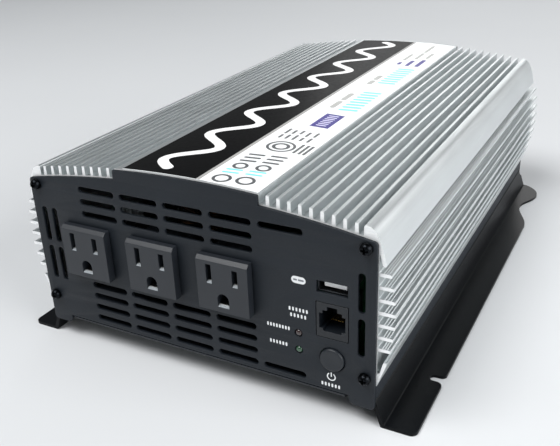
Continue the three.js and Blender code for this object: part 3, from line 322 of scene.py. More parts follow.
def moulded(name, tone, rough, grain=0.35, depth=0.03):
    """Injection moulded plastic: one even colour under the fine spark texture of the mould."""
    return surfaced(name, (shade(tone, 0.94), shade(tone, 1.05)), Pattern(grain, 2, 0.6),
                    (rough - 0.04, rough + 0.06),
                    depth, 0.5, cloud=Pattern(9), IOR=PLASTIC_IOR)


@cache
def outlet_nylon():
    """Moulded nylon: a shade lighter than the panel, with a soft satin face."""
    return moulded("moulded_grey_nylon", tuple(colours().outlet), 0.42)


@cache
def black_abs():
    """Moulded ABS: plain black with a satin gloss."""
    return moulded("moulded_black_ABS", linear("#101113"), 0.42)


@cache
def button_abs():
    """Moulded ABS with a finer spark texture, so the button looks smoother than the panel."""
    return moulded("moulded_charcoal_ABS", linear("#141a21"), 0.46, 0.25)


@cache
def jack_nylon():
    """Moulded nylon, nearly black and faintly blue."""
    return moulded("moulded_dark_nylon", linear("#0b1118"), 0.42)


@cache
def white_nylon():
    """Moulded nylon: clean white inside the dark port."""
    return moulded("moulded_white_nylon", linear("#fbfdfd"), 0.4)


@cache
def red_abs():
    """Moulded ABS: strong red with a satin gloss."""
    return moulded("moulded_red_ABS", linear("#a31a1c"), 0.35)


def lens(name, tone, glow):
    """Clear tinted epoxy: glossy, with colour deep inside it."""
    return surfaced(name, (shade(tone, 0.6), tone), Pattern(0.8), 0.1, 0.02, 0.3,
                    IOR=EPOXY_IOR, Coat_Weight=1.0, Coat_Roughness=0.03,
                    Emission_Color=(*tone, 1), Emission_Strength=glow)


@cache
def red_lens():
    """An unlit red lamp: almost black, with a trace of red."""
    return lens("cast_red_epoxy", linear("#2c1716"), 0.03)


@cache
def green_lens():
    """A green lamp that glows faintly."""
    return lens("cast_green_epoxy", linear("#1c4a2e"), 0.1)


def metal(name, tone, rough, stretch=(1, 1, 1)):
    """Machined or plated metal: clean, with faint tool lines that streak its gloss."""
    return surfaced(name, (shade(tone, 0.86), tone), Pattern(0.3, 3, 0.6, stretch),
                    (rough - 0.05, rough + 0.1), 0.008, 0.6, cloud=Pattern(6, 3), Metallic=1.0)


@cache
def nickel_plate():
    """Bright and slightly warm, with sharp reflections."""
    return metal("nickel_plated_steel", linear("#cfcdc8"), 0.22)


@cache
def shadowed_nickel():
    """Tin plated shell, dark all over: painted shade inside the drawn port."""
    return metal("shade_darkened_tin_plated_steel", linear("#55585c"), 0.4)


@cache
def tin_with_painted_reflection():
    """Dull hot dipped tin, pale grey so that it paints the reflection on each slot's floor: bright
    wherever light falls on it.
    """
    return surfaced("tin_with_painted_reflection", (linear("#8f969b"), linear("#b4babe")), Pattern(0.6),
                    (0.4, 0.5), 0.01, 0.5,
                    Metallic=0.3)


@cache
def black_oxide():
    """Chemically blackened steel: dark, with small sharp highlights."""
    return metal("black_oxide_steel", linear("#1b1d20"), 0.28)


@cache
def turned_brass():
    """Turned on a lathe: yellow, with its gloss streaked round the axis."""
    return metal("turned_brass", linear("#d2ac5c"), 0.26, stretch=(1, 0.3, 1))


@cache
def gold_flash():
    """A thin gold layer on bronze springs: warm and bright in the dark socket."""
    return metal("gold_flashed_bronze", linear("#d8b36a"), 0.28)


@cache
def milled_aluminium():
    """Milled bar: grey metal with long cutter streaks."""
    return metal("milled_aluminium", linear("#a9acae"), 0.35, stretch=(1, 40, 1))


@cache
def printed(code, shine=0.12):
    """Screen print on polyester film: smooth ink with a slight orange peel."""
    tone = linear(code)
    return surfaced("printed_film_" + code.strip("#"), (shade(tone, 0.97), shade(tone, 1.03)),
                    Pattern(1.6),
                    (0.3, 0.38), 0.004, 0.5, IOR=PLASTIC_IOR, Specular_IOR_Level=shine)


@cache
def solder_mask():
    """Green lacquer over copper tracks on glass fibre: glossy, with the tracks a lighter green."""
    material, tree, at = started("green_solder_mask")
    links = {"Vector": at, "Scale": per(9), "Mortar Size": 0.09, "Brick Width": 0.7,
             "Color1": linear("#0f3420"), "Color2": linear("#0d2c1b"), "Mortar": linear("#1c5133")}
    lacquer = add(tree, "TexBrick", links, offset=0.5)
    tracks = lacquer.node.outputs["Fac"]
    finished(tree, Base_Color=lacquer, Roughness=0.3, IOR=PLASTIC_IOR,
             Normal=add(tree, "Bump", {"Height": tracks, "Distance": 0.05 * MM, "Strength": 1.0}))
    return material


@cache
def wound_copper():
    """Enamelled wire laid turn on turn, so fine ridges run round the coil; its copper tones are
    darkened as painted shade inside the housing.
    """
    material, tree, at = started("enamelled_copper_wire_in_painted_shade")
    wire_pitch = 2.2
    links = {"Vector": at, "Scale": per(wire_pitch) / 6, "Distortion": 0.3, "Detail": 1.0}
    turns = add(tree, "TexWave", links, out="Fac", bands_direction="Z")
    # Both tones are darker than bare copper: painted shade inside the housing.
    base = add(tree, "Mix", {0: turns, 6: linear("#2a1709"), 7: linear("#5d3c1e")}, out=2,
               data_type="RGBA")
    finished(tree, Base_Color=base, Metallic=0.6, Roughness=0.32,
             Normal=add(tree, "Bump", {"Height": turns, "Distance": 0.25 * MM, "Strength": 1.0}))
    return material


@cache
def sintered_ferrite():
    """Pressed and fired: dull dark grey with a fine sandy grain."""
    return moulded("sintered_ferrite", linear("#393a3e"), 0.62, 0.5, 0.05)


@cache
def shrink_sleeve():
    """Vinyl shrunk over a can: dark blue, smooth and fairly glossy."""
    return moulded("shrunk_vinyl_sleeve", linear("#1d2842"), 0.3, 1.2, 0.02)


@cache
def black_vinyl():
    """Extruded cable sheath: black with a waxy gloss."""
    return moulded("extruded_black_vinyl", linear("#161719"), 0.45, 0.5)


@cache
def red_vinyl():
    """Extruded cable sheath: red with a waxy gloss."""
    return moulded("extruded_red_vinyl", linear("#9a1b1b"), 0.42, 0.5)


@cache
def painted_floor():
    """Matte studio floor with the faintest unevenness."""
    tone = tuple(colours().floor)
    return surfaced("matte_painted_board", (shade(tone, 0.985), tone), Pattern(160, 3),
                    0.75, 0.2, 0.2)


# ---- Tools for making pieces ----

def linked(name, mesh, sharp=SHARP):
    """An object for a mesh, smooth where its faces meet at less than the sharp angle."""
    mesh.shade_smooth()
    mesh.set_sharp_from_angle(angle=radians(sharp))
    obj = bpy.data.objects.new(name, mesh)
    bpy.context.collection.objects.link(obj)
    return obj


def solid(name, points, faces, *finishes, pick=None, sharp=SHARP):
    """A mesh from points in millimetres. pick gives each face the number of its finish."""
    mesh = bpy.data.meshes.new(name)
    mesh.from_pydata([point(*p) for p in points], [], faces)
    for material in finishes:
        mesh.materials.append(material)
    if pick:
        mesh.polygons.foreach_set("material_index", pick)
    work = bmesh.new()
    work.from_mesh(mesh)
    bmesh.ops.recalc_face_normals(work, faces=work.faces)
    work.to_mesh(mesh)
    work.free()
    return linked(name, mesh, sharp)


PLANES = {
    "xz": lambda u, v, w: (u, w, v),
    "yz": lambda u, v, w: (w, u, v),
    "xy": lambda u, v, w: (u, v, w),
}


def prism(name, outline, plane, start, end, *finishes):
    """An outline carried from start to end; a second finish goes on its two ends."""
    lift = PLANES[plane]
    n = len(outline)
    points = [lift(u, v, w) for w in (start, end) for u, v in outline]
    faces = [tuple(range(n)), tuple(range(2 * n - 1, n - 1, -1))]
    faces += [(i, (i + 1) % n, (i + 1) % n + n, i + n) for i in range(n)]
    pick = [len(finishes) - 1] * 2 + [0] * n
    return solid(name, points, faces, *finishes, pick=pick)


def block(name, low, high, finish):
    """A box between two corners, for cutters and for parts of a larger piece."""
    outline = [(low[0], low[2]), (high[0], low[2]), (high[0], high[2]), (low[0], high[2])]
    return prism(name, outline, "xz", low[1], high[1], finish)


def taken(obj):
    """The mesh that an object shows, with its modifiers applied."""
    graph = bpy.context.evaluated_depsgraph_get()
    return bpy.data.meshes.new_from_object(obj.evaluated_get(graph))


def plate(name, outline, holes, plane, start, end, finish, edge=None, steps=2):
    """A flat plate with holes whose edges are broken by a small round."""
    edge = sizes().edge_break / MM if edge is None else edge
    curve = bpy.data.curves.new(name, "CURVE")
    curve.dimensions = "2D"
    curve.fill_mode = "BOTH"
    curve.extrude = (end - start) / 2 - edge
    curve.bevel_depth = edge
    curve.offset = -edge
    curve.bevel_resolution = steps
    for number, loop in enumerate([outline, *holes]):
        area = sum(a[0] * b[1] - b[0] * a[1] for a, b in zip(loop, loop[1:] + loop[:1]))
        ordered = loop if (area > 0) == (number == 0) else loop[::-1]
        spline = curve.splines.new("POLY")
        spline.points.add(len(ordered) - 1)
        for corner, (u, v) in zip(spline.points, ordered):
            corner.co = (u, v, 0, 1)
        spline.use_cyclic_u = True
    holder = bpy.data.objects.new(name, curve)
    bpy.context.collection.objects.link(holder)
    mesh = taken(holder)
    bpy.data.objects.remove(holder)
    lift = PLANES[plane]
    centre = (start + end) / 2
    for vertex in mesh.vertices:
        u, v, w = vertex.co
        vertex.co = point(*lift(u, v, centre + w))
    mesh.materials.clear()
    mesh.materials.append(finish)
    work = bmesh.new()
    work.from_mesh(mesh)
    bmesh.ops.remove_doubles(work, verts=work.verts, dist=0.002 * MM)
    bmesh.ops.recalc_face_normals(work, faces=work.faces)
    work.to_mesh(mesh)
    work.free()
    return linked(name, mesh)


def turned(name, profile, centre, axis, finish, steps=40, sharp=SHARP):
    """A profile of (radius, along) pairs turned about a line through centre along Y or Z."""
    points, rows = [], []
    for r, along in profile:
        ring = []
        for i in range(1 if r == 0 else steps):
            a = tau * i / steps
            u, v = r * cos(a), r * sin(a)
            ring.append(len(points))
            points.append((centre[0] + u, along, centre[1] + v) if axis == "Y"
                          else (centre[0] + u, centre[1] + v, along))
        rows.append(ring)
    faces = []
    for lower, upper in zip(rows, rows[1:]):
        for i in range(steps):
            j = (i + 1) % steps
            around = ((lower, i), (lower, j), (upper, j), (upper, i))
            corners = list(dict.fromkeys(row[n % len(row)] for row, n in around))
            if len(corners) > 2:
                faces.append(tuple(corners))
    return solid(name, points, faces, finish, sharp=sharp)


def wire(name, runs, radius, finish, closed=False):
    """Round wire along one or more runs of points."""
    curve = bpy.data.curves.new(name, "CURVE")
    curve.dimensions = "3D"
    curve.bevel_depth = radius * MM
    curve.bevel_resolution = 3
    curve.use_fill_caps = True
    for run in runs:
        spline = curve.splines.new("NURBS")
        spline.points.add(len(run) - 1)
        for knot, p in zip(spline.points, run):
            knot.co = (*point(*p), 1)
        spline.use_cyclic_u = closed
        spline.order_u = 3
        spline.use_endpoint_u = not closed
    curve.materials.append(finish)
    holder = bpy.data.objects.new(name, curve)
    bpy.context.collection.objects.link(holder)
    mesh = taken(holder)
    bpy.data.objects.remove(holder)
    return linked(name, mesh, 60)


def carve(obj, cutters):
    """Cuts solids out of a piece and keeps the result as its mesh."""
    for cutter in cutters:
        modifier = obj.modifiers.new("cut", "BOOLEAN")
        modifier.operation = "DIFFERENCE"
        modifier.solver = "EXACT"
        modifier.object = cutter
    mesh = taken(obj)
    obj.modifiers.clear()
    obj.data = mesh
    mesh.shade_smooth()
    mesh.set_sharp_from_angle(angle=radians(SHARP))
    for cutter in cutters:
        bpy.data.objects.remove(cutter)
    return obj


def soften(obj, width, steps=2):
    """Rounds a piece's edges."""
    modifier = obj.modifiers.new("edge_round", "BEVEL")
    modifier.width = width * MM
    modifier.segments = steps
    modifier.limit_method = "ANGLE"
    modifier.angle_limit = radians(40)
    modifier.harden_normals = True
    return obj


def merged(name, objects):
    """One piece from several, each keeping its finish."""
    for obj in objects:
        obj.data = taken(obj)
        obj.modifiers.clear()
    with bpy.context.temp_override(active_object=objects[0], selected_editable_objects=objects,
                                   object=objects[0], selected_objects=objects):
        if len(objects) > 1:
            bpy.ops.object.join()
    objects[0].name = name
    return objects[0]


def settle(obj, slot, *nodes, body="root"):
    """Fixes a finished piece to its CAD body and hides the nodes that it stands for. slot is not
    used.
    """
    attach(obj, body)
    if nodes:
        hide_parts(*nodes)
    return obj


def coat(node, finish):
    """Puts a finish on a CAD node that keeps its shape."""
    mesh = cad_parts[node].data
    mesh.materials.clear()
    mesh.materials.append(finish)


def strokes(name, runs, lift, finish):
    """Printed lines with round ends.

    Each run is (points, width, closed), and lift puts its points on their surface."""
    points, faces = [], []
    for path, width, closed in runs:
        half = width / 2
        vectors = [Vector(p) for p in path]
        count = len(vectors)
        rows = []
        for i, p in enumerate(vectors):
            before = vectors[i - 1] if i or closed else p
            after = vectors[(i + 1) % count] if i < count - 1 or closed else p
            along = (after - before).normalized()
            rows.append((p, along, half))
        if not closed:
            caps = [radians(a) for a in (18, 36, 54, 72, 86)]
            first, last = rows[0], rows[-1]
            front = [(first[0] - first[1] * half * sin(a), first[1], half * cos(a))
                     for a in reversed(caps)]
            back = [(last[0] + last[1] * half * sin(a), last[1], half * cos(a)) for a in caps]
            rows = front + rows + back
        start = len(points)
        for p, along, reach in rows:
            side = Vector((-along.y, along.x)) * reach
            points += [lift(*(p + side)), lift(*(p - side))]
        span = len(rows)
        for i in range(span if closed else span - 1):
            a, b = start + 2 * i, start + 2 * ((i + 1) % span)
            faces.append((a, a + 1, b + 1, b))
    return solid(name, points, faces, finish)


# ---- Housing and label ----

FIN_COUNT = 9         # on each side of the band
FIRST_FIN = 3.8       # from the band's edge to the first fin
LAST_FIN = 9.0        # from the last fin to the panel's edge
FIN_SECTION = ((0.95, None), (0.78, -3.9), (0.72, -0.14), (0.58, 0))
# half width and height under the crest: in the groove, over its corner, and round the crest
SIDE_FIN_COUNT = 7
SIDE_FIN_PITCH = 5.62
SIDE_FIN_HALF = 0.75  # half thickness
SIDE_FIN_TOP = arch(EDGE, GROOVE_CROWN) - 14
SHOULDER_TIP = arch(EDGE, GROOVE_CROWN) - 10
SKIRT_TIP = 21.7
SKIRT_FOOT = 9.4
RIDGE = 0.2           # height of the fine lines along the side fins
RIDGE_PLACES = (0.36, 0.54, 0.72)  # shares of a side fin's reach
BULGE_RADIUS = 85.0   # of the upright curve that the side fins' tips lie on
BULGE_REACH = 7.2     # of that curve past the panel's edge
CHANNEL_HALF = 4.4
CHANNEL_BORE = 1.75
LABEL_LIFT = 0.26     # of the film's face over the band
INK = 0.03            # of each layer of print over the one below


def bulge(z):
    """Half width over the side fins' tips, which lie on an upright barrel curve."""
    height = (SHOULDER_TIP + SKIRT_TIP) / 2
    return EDGE + BULGE_REACH - BULGE_RADIUS + sqrt(BULGE_RADIUS ** 2 - (z - height) ** 2)


def top_fins():
    """The right half's top fins, from the band outwards."""
    first, last = BAND_HALF + FIRST_FIN, EDGE - LAST_FIN
    points = []
    for i in range(FIN_COUNT):
        x = first + (last - first) * i / (FIN_COUNT - 1)
        top = arch(x, HOUSING_CROWN)
        for side, section in ((-1, FIN_SECTION), (1, FIN_SECTION[::-1])):
            for half, drop in section:
                edge = x + side * half
                points.append((edge, arch(edge, GROOVE_CROWN) if drop is None else top + drop))
    return points


def shoulder():
    """The rounded shoulder beside the last groove, and its overhang over the side fins."""
    start = EDGE - 6.2
    floor = arch(start, GROOVE_CROWN)
    crest = floor + BAND_STEP + 0.2
    tip = (EDGE + 3.1, SHOULDER_TIP)
    points = [(start, floor), (start + 0.15, crest - 0.7), (start + 0.35, crest - 0.2),
              (start + 0.8, crest)]
    points += bezier(points[-1], (EDGE - 0.9, crest - 0.3), (EDGE + 1, crest - 5.6), tip, 18)
    points += [(tip[0] - 0.35, tip[1] - 0.35), (tip[0] - 0.9, tip[1] - 0.3),
               (tip[0] - 1.6, tip[1] + 0.2)]
    return points + [(WALL_OUTER + 0.35, tip[1] + 4.0), (WALL_OUTER, tip[1] + 4.6)]


def side_fins():
    """The right wall's fins from the top down, each with fine lines along its upper face."""
    points = []
    half = SIDE_FIN_HALF
    for i in range(SIDE_FIN_COUNT):
        z = SIDE_FIN_TOP - SIDE_FIN_PITCH * i
        tip = bulge(z)
        points += [(WALL_OUTER, z + half + 0.15), (WALL_OUTER + 0.15, z + half)]
        for share in RIDGE_PLACES:
            x = WALL_OUTER + (tip - WALL_OUTER) * share
            points += [(x - RIDGE, z + half), (x, z + half + RIDGE), (x + RIDGE, z + half)]
        points += [(tip - 0.25, z + half - 0.08), (tip - 0.05, z + half - 0.25), (tip, z),
                   (tip - 0.05, z - half + 0.25), (tip - 0.25, z - half + 0.08),
                   (WALL_OUTER, z - half)]
    return points


def skirt():
    """The sloping lip at the foot of the right wall."""
    reach = bulge(SKIRT_TIP)
    return [(WALL_OUTER, SKIRT_TIP - 6), (WALL_OUTER + 1.2, SKIRT_TIP - 5.6),
            (reach - 1.8, SKIRT_TIP - 0.6), (reach - 0.7, SKIRT_TIP - 0.05),
            (reach - 0.3, SKIRT_TIP - 0.1), (reach - 0.25, SKIRT_TIP - 0.6),
            (reach - 0.5, SKIRT_TIP - 1.6), (WALL_OUTER, SKIRT_FOOT)]


def screw_channel(z, wall_below, closed):
    """A round channel inside the wall that takes the panels' screws, open towards the middle."""
    face = SCREW_X - 3.2
    opening = 180 / pi * asin(1 / CHANNEL_BORE)
    points = [(wall_below, z - CHANNEL_HALF), (face + 1.4, z - CHANNEL_HALF), (face, z - 3),
              (face, z - 1)]
    points += arc(SCREW_X, z, CHANNEL_BORE, 180 + opening, 540 - opening, 14) + [(face, z + 1)]
    if closed:
        points += [(face, z + 3), (face + 1.4, z + CHANNEL_HALF),
                   (WALL_OUTER - WALL, z + CHANNEL_HALF)]
    return points


def housing_outline():
    """The extrusion's section: one closed line, out over the top and back along the inside."""
    foot_outer = EDGE - SHEET - GAP
    foot_inner = foot_outer - 2.2
    foot = 2 * SHEET + 2 * GAP
    half = arch_run(0, BAND_HALF - 0.4, HOUSING_CROWN, 10)
    half += [(BAND_HALF - 0.1, half[-1][1] - 0.1), (BAND_HALF, half[-1][1] - 0.4)]
    half += [(BAND_HALF + 0.2, arch(BAND_HALF, GROOVE_CROWN))]
    half += top_fins() + shoulder() + side_fins() + skirt()
    half += [(foot_outer, SKIRT_FOOT), (foot_outer, foot), (foot_inner, foot)]
    half += screw_channel(SCREW_LOW, foot_inner, True)
    half += screw_channel(SCREW_HIGH, WALL_OUTER - WALL, False)
    half += arch_run(SCREW_X - CHANNEL_HALF, 0, GROOVE_CROWN - WALL, 16)
    return mirrored(half)


class INVERTER_OT_housing(bpy.types.Operator):
    """Extruded aluminium housing with its top fins, rounded shoulders and side fins"""
    bl_idname = "inverter.housing"
    bl_label = "Housing"

    def execute(self, context):
        low, high = spot("housing_extrusion")
        housing = prism("finned_housing", housing_outline(), "xz", low.y, high.y,
                        anodised_aluminium(), sawn_aluminium())
        settle(housing, "anodised_aluminium", "housing_extrusion")
        return {"FINISHED"}


def on_label(x, y):
    """A point just over the printed film at this place on the arch."""
    return x, y, arch(x, HOUSING_CROWN) + LABEL_LIFT + INK


def over_print(x, y):
    """The same place, over a first layer of print."""
    return x, y, on_label(x, y)[2] + INK


def bars(x, starts, width):
    """Short printed bars along Y: starts lists (start, end) pairs."""
    return [([(x, a + width / 2), (x, b - width / 2)], width, False) for a, b in starts]


def circle(cx, cy, radius, width):
    """A printed ring."""
    return round_loop(cx, cy, radius, 40), width, True


def printed_field(x0, x1, y0, y1):
    """Points and faces of a wide printed field that follows the arch between two lines."""
    steps = 8
    xs = [x0 + (x1 - x0) * i / steps for i in range(steps + 1)]
    points = [on_label(x, y) for x in xs for y in (y0, y1)]
    return points, [(2 * i, 2 * i + 1, 2 * i + 3, 2 * i + 2) for i in range(steps)]


BAND_EDGE = 6.3       # where the black band ends and a grey line begins
GREY_LINE_EDGE = 8.0
WAVE_PERIODS = 7
WAVE_MARGIN = 7.0     # from the wave's ends to the label's


class INVERTER_OT_label(bpy.types.Operator):
    """Printed film on the raised band: a black field with a wave, a white field with marks"""
    bl_idname = "inverter.label"
    bl_label = "Label"

    def execute(self, context):
        low, high = spot("top_label")
        under = [(x, arch(x, HOUSING_CROWN) + 0.06) for x, _ in arch_run(low.x, high.x, 0, 24)]
        over = [(x, z + 0.2) for x, z in reversed(under)]
        film = prism("label_film", under + over, "xz", low.y, high.y, printed("#f6f8f8"))
        settle(film, "label_film", "top_label")
        fields = [("label_black_band", low.x + 0.05, BAND_EDGE, "#0b0b0c"),
                  ("label_grey_line", BAND_EDGE, GREY_LINE_EDGE, "#a9a8a6")]
        for name, x0, x1, code in fields:
            points, faces = printed_field(x0, x1, low.y + 0.1, high.y - 0.1)
            settle(solid(name, points, faces, printed(code, 0.02)), "label_film")
        self.wave(low, high, (low.x + BAND_EDGE) / 2)
        self.marks()
        return {"FINISHED"}

    def wave(self, low, high, centre):
        """A plain sine wave along the black band."""
        swing = sizes().wave_height / MM / 2
        start, end = low.y + WAVE_MARGIN, high.y - WAVE_MARGIN
        steps = 40 * WAVE_PERIODS
        path = [(centre - swing * sin(WAVE_PERIODS * tau * i / steps),
                 start + (end - start) * i / steps) for i in range(steps + 1)]
        run = [(path, sizes().wave_stroke / MM, False)]
        settle(strokes("label_wave", run, over_print, printed("#f7f7f7")), "label_film")

    def marks(self):
        """Plain bars, rings and blocks in place of words: each row is laid out from the front."""
        dark = [circle(20, 51, 6.2, 1.3), circle(20, 51, 3.4, 1.6)]
        cyan = []
        for x, shift in ((15.5, 0), (25.5, 2)):
            dark += [circle(x, 7.4 + shift, 3.5, 1.4), circle(x, 22.5 + shift, 2.8, 1.4)]
            for y in (28.4, 32.4, 36.4):
                dark.append(([(x - 3, y + shift), (x + 3, y + shift + 1)], 1.7, False))
            for y in (13.8, 17.2):
                cyan.append(([(x - 3, y + shift), (x + 3, y + shift + 1)], 1.5, False))
        for i, x in enumerate((13.4, 16.8, 20.4, 24.2, 28)):
            dark += bars(x, [(61, 66 + i % 3), (67.5 + i % 3, 75 - i % 2)], 1.3)
        for x in (28.4, 31, 33.2):
            dark += bars(x, [(46, 58)], 1.3)
        for i in range(8):
            for first, pitch in ((113.5, 4.9), (170, 4.9)):
                y = first + pitch * i
                cyan.append(([(22.4, y), (29.6, y + 1.6)], 2.9, False))
        points, faces = printed_field(18.8, 28.6, 82.8, 104.2)
        settle(solid("label_indigo_field", points, faces, printed("#2b2080")), "label_film")
        indigo = bars(17.2, [(214.5, 221)], 2.2) + bars(23, [(213.5, 228)], 2.4)
        indigo += bars(28.8, [(214.5, 233)], 2.6)
        white = [([(21.6, 85.6 + 2.6 * i), (25.9, 86 + 2.6 * i)], 1.1, False) for i in range(7)]
        grey = bars(16.6, [(114, 127), (129, 143)], 3) + bars(17.4, [(164, 173), (174.5, 185)], 3)
        grey += bars(17, [(226, 244)], 1.9) + bars(22.8, [(232, 250), (252, 273)], 2)
        grey += bars(28.6, [(237, 252)], 2)
        for name, runs, code in (("label_dark_marks", dark, "#5a5c5e"),
                                 ("label_cyan_marks", cyan, "#7fe0ea"),
                                 ("label_indigo_marks", indigo, "#2b2080"),
                                 ("label_grey_marks", grey, "#adadaa")):
            settle(strokes(name, runs, on_label, printed(code)), "label_film")
        settle(strokes("label_white_marks", white, over_print, printed("#dcd9f4")), "label_film")


# ---- Sheet steel ----

FOLD_HALF = EDGE - 13       # half width of the lip folded under the tray
RELIEF = 1.6                # gap between that lip and the panel's ears
LIP_REACH = 14
VENT_ROW_PITCH = 6.05
VENT_PITCH = 23.04
VENT_LENGTH, VENT_WIDTH = 20.2, 3.1
FIRST_VENT = -EDGE + 39.1   # middle of each row's first slot
UPRIGHT_LENGTH = 17.8       # of the upright slots at the panel's sides
SCREW_HOLE = 1.75
BUTTON_HOLE = 5.7
LAMP_HOLE = 1.8
STUD_HOLE = 6.3
EARTH_HOLE = 2.8
FAN_RIM = 1.6               # thinnest wall of a fan's frame, round its bore


def panel_outline():
    """Both panels' outline, with a step at the raised band and rounded ears at the foot."""
    corner = arch(EDGE, GROOVE_CROWN - GAP)
    ear = FOLD_HALF + RELIEF
    half = arch_run(0, BAND_HALF, CROWN, 10)
    half += arch_run(BAND_HALF + 0.2, EDGE - 1.4, GROOVE_CROWN - GAP, 10)
    half += arc(EDGE - 1.5, corner - 1.3, 1.5, 80, 0, 6)
    half += arc(EDGE - 1.8, 1.8 - EAR_DROP, 1.8, 0, -90, 6)
    half += arc(ear + 3, 3 - EAR_DROP, 3, 270, 180, 8)
    half += [(ear, SHEET + 0.8), (0, SHEET + 0.8)]
    return mirrored(half)


def folded_lip(name, front, inward):
    """The strip that turns back under the tray from a panel's foot."""
    r = SHEET + 0.5
    outline = [(0, r + 0.02)] + arc(r, r, r, 180, 270, 8) + [(LIP_REACH, 0), (LIP_REACH, SHEET)]
    outline += arc(r, r, 0.5, 270, 180, 4) + [(SHEET, r + 0.02)]
    outline = [(front + inward * y, z) for y, z in outline]
    return prism(name, outline, "yz", -FOLD_HALF, FOLD_HALF, charcoal_powder_coat())


def vents():
    """Three rows of slots over the outlets, four under them, and upright slots at the sides."""
    top, low = CROWN - 13.6, VENT_ROW_PITCH
    rows = [(top - VENT_ROW_PITCH * i, 5 if i == 0 else 4) for i in range(3)]
    rows += [(low + VENT_ROW_PITCH * i, 5 if i == 0 else 4) for i in range(4)]
    loops = [slot_loop(FIRST_VENT + VENT_PITCH * i, z, VENT_LENGTH, VENT_WIDTH)
             for z, count in rows for i in range(count)]
    for z in (52, 31.6):
        loops += [slot_loop(x, z, UPRIGHT_LENGTH, VENT_WIDTH, True)
                  for x in (-EDGE + 6, -EDGE + 12, EDGE - 6)]
    return loops


def screw_holes():
    return [round_loop(side * SCREW_X, z, SCREW_HOLE, 24)
            for side in (-1, 1) for z in (SCREW_HIGH, SCREW_LOW)]


def inset(node, by):
    """The outline of a node's front, grown by a clearance."""
    low, high = spot(node)
    return rounded_box(low.x - by, high.x + by, low.z - by, high.z + by, 0.4, 3)


class INVERTER_OT_front_panel(bpy.types.Operator):
    """Front panel with its vents, cutouts and printed marks"""
    bl_idname = "inverter.front_panel"
    bl_label = "Front panel"

    def execute(self, context):
        button, leds = middle("power_button"), [middle("protect_led"), middle("power_led")]
        holes = vents() + screw_holes() + [inset("usb_shell", 0), inset("remote_jack", GAP)]
        holes += [inset(f"outlet_{i}", -0.5) for i in (1, 2, 3)]
        holes.append(round_loop(button.x, button.z, BUTTON_HOLE, 36))
        holes += [round_loop(p.x, p.z, LAMP_HOLE, 20) for p in leds]
        face = plate("front_face", panel_outline(), holes, "xz", 0, SHEET, charcoal_powder_coat())
        panel = merged("front_panel_sheet", [face, folded_lip("front_fold", 0, 1)])
        settle(panel, "panel_powder_coat", "front_panel")
        self.legends(button, leds)
        return {"FINISHED"}

    def legends(self, button, leds):
        """White print: a pill by the port, ticks in place of words, and the standby sign."""
        pill_z = 51.9
        tick, tick_pitch, half = 0.82, 1.36, 0.5
        runs = [([(51.4, pill_z), (54.6, pill_z)], 3.2, False)]
        rows = ((48.2, 37.9, 8.6), (48.8, 35.0, 7.2), (leds[0].x - 14.6, 27.8, 10.6),
                (leds[1].x - 13.6, 19.6, 8.2), (button.x - 5.0, 5.0, 8.4))
        for x, z, length in rows:
            count = round(length / tick_pitch)
            for i in range(count):
                u = x + 0.4 + (length - 0.8) * i / (count - 1)
                runs.append(([(u, z - half), (u, z + half)], tick, False))
        sign_x, sign_z, line = button.x - 0.5, 9.3, 0.55
        runs.append((arc(sign_x, sign_z, 1.75, 132, 408, 24), line, False))
        runs.append(([(sign_x, sign_z + 0.2), (sign_x, sign_z + 1.9)], line, False))
        port = [([(x0, pill_z), (x1, pill_z)], 0.8, False) for x0, x1 in ((51, 52), (53.2, 55))]
        for name, lines, layers, code in (("panel_print", runs, 1, "#e6e8e9"),
                                          ("panel_print_grey", port, 2, "#7d8286")):
            lift = lambda x, z: (x, -INK * layers, z)
            settle(strokes(name, lines, lift, printed(code)), "panel_powder_coat")


class INVERTER_OT_rear_panel(bpy.types.Operator):
    """Rear panel with the fans' openings and the holes for the terminals and the earth stud"""
    bl_idname = "inverter.rear_panel"
    bl_label = "Rear panel"

    def execute(self, context):
        fans = [middle("fan_frame_left"), middle("fan_frame_right")]
        low, high = spot("fan_frame_left")
        bore = (high.x - low.x) / 2 - FAN_RIM
        holes = screw_holes() + [round_loop(f.x, f.z, bore, 90) for f in fans]
        for side in ("negative", "positive"):
            stud = middle(f"{side}_terminal_stud")
            holes.append(round_loop(stud.x, stud.z, STUD_HOLE, 36))
        earth = middle("earth_stud")
        holes.append(round_loop(earth.x, earth.z, EARTH_HOLE, 18))
        face = plate("rear_face", panel_outline(), holes, "xz", REAR - SHEET, REAR,
                     charcoal_powder_coat())
        panel = merged("rear_panel_sheet", [face, folded_lip("rear_fold", REAR, -1)])
        settle(panel, "panel_powder_coat", "rear_panel")
        return {"FINISHED"}


def foot_outline(low, high):
    """Section of the right foot: a flange under the tray, a leaning web, a flange on the ground."""
    outer = WALL_OUTER
    inner = outer - SHEET
    splay = 3.3  # how far the web leans out on its way down
    ground = low.z
    points = [(inner - 10, 0), (inner - 0.6, 0), (inner - 0.1, -0.4)]
    points += [(inner + splay - 0.1, ground + 1.0), (inner + splay + 0.15, ground + 0.3)]
    points += [(inner + splay + 0.8, ground), (high.x, ground), (high.x, ground + SHEET)]
    points += [(outer + splay + 0.5, ground + SHEET), (outer + splay + 0.15, ground + SHEET + 0.25)]
    points += [(outer + 0.1, SHEET - 1.2), (outer - 0.15, SHEET - 0.45), (outer - 0.7, SHEET),
               (inner - 10, SHEET)]
    return points


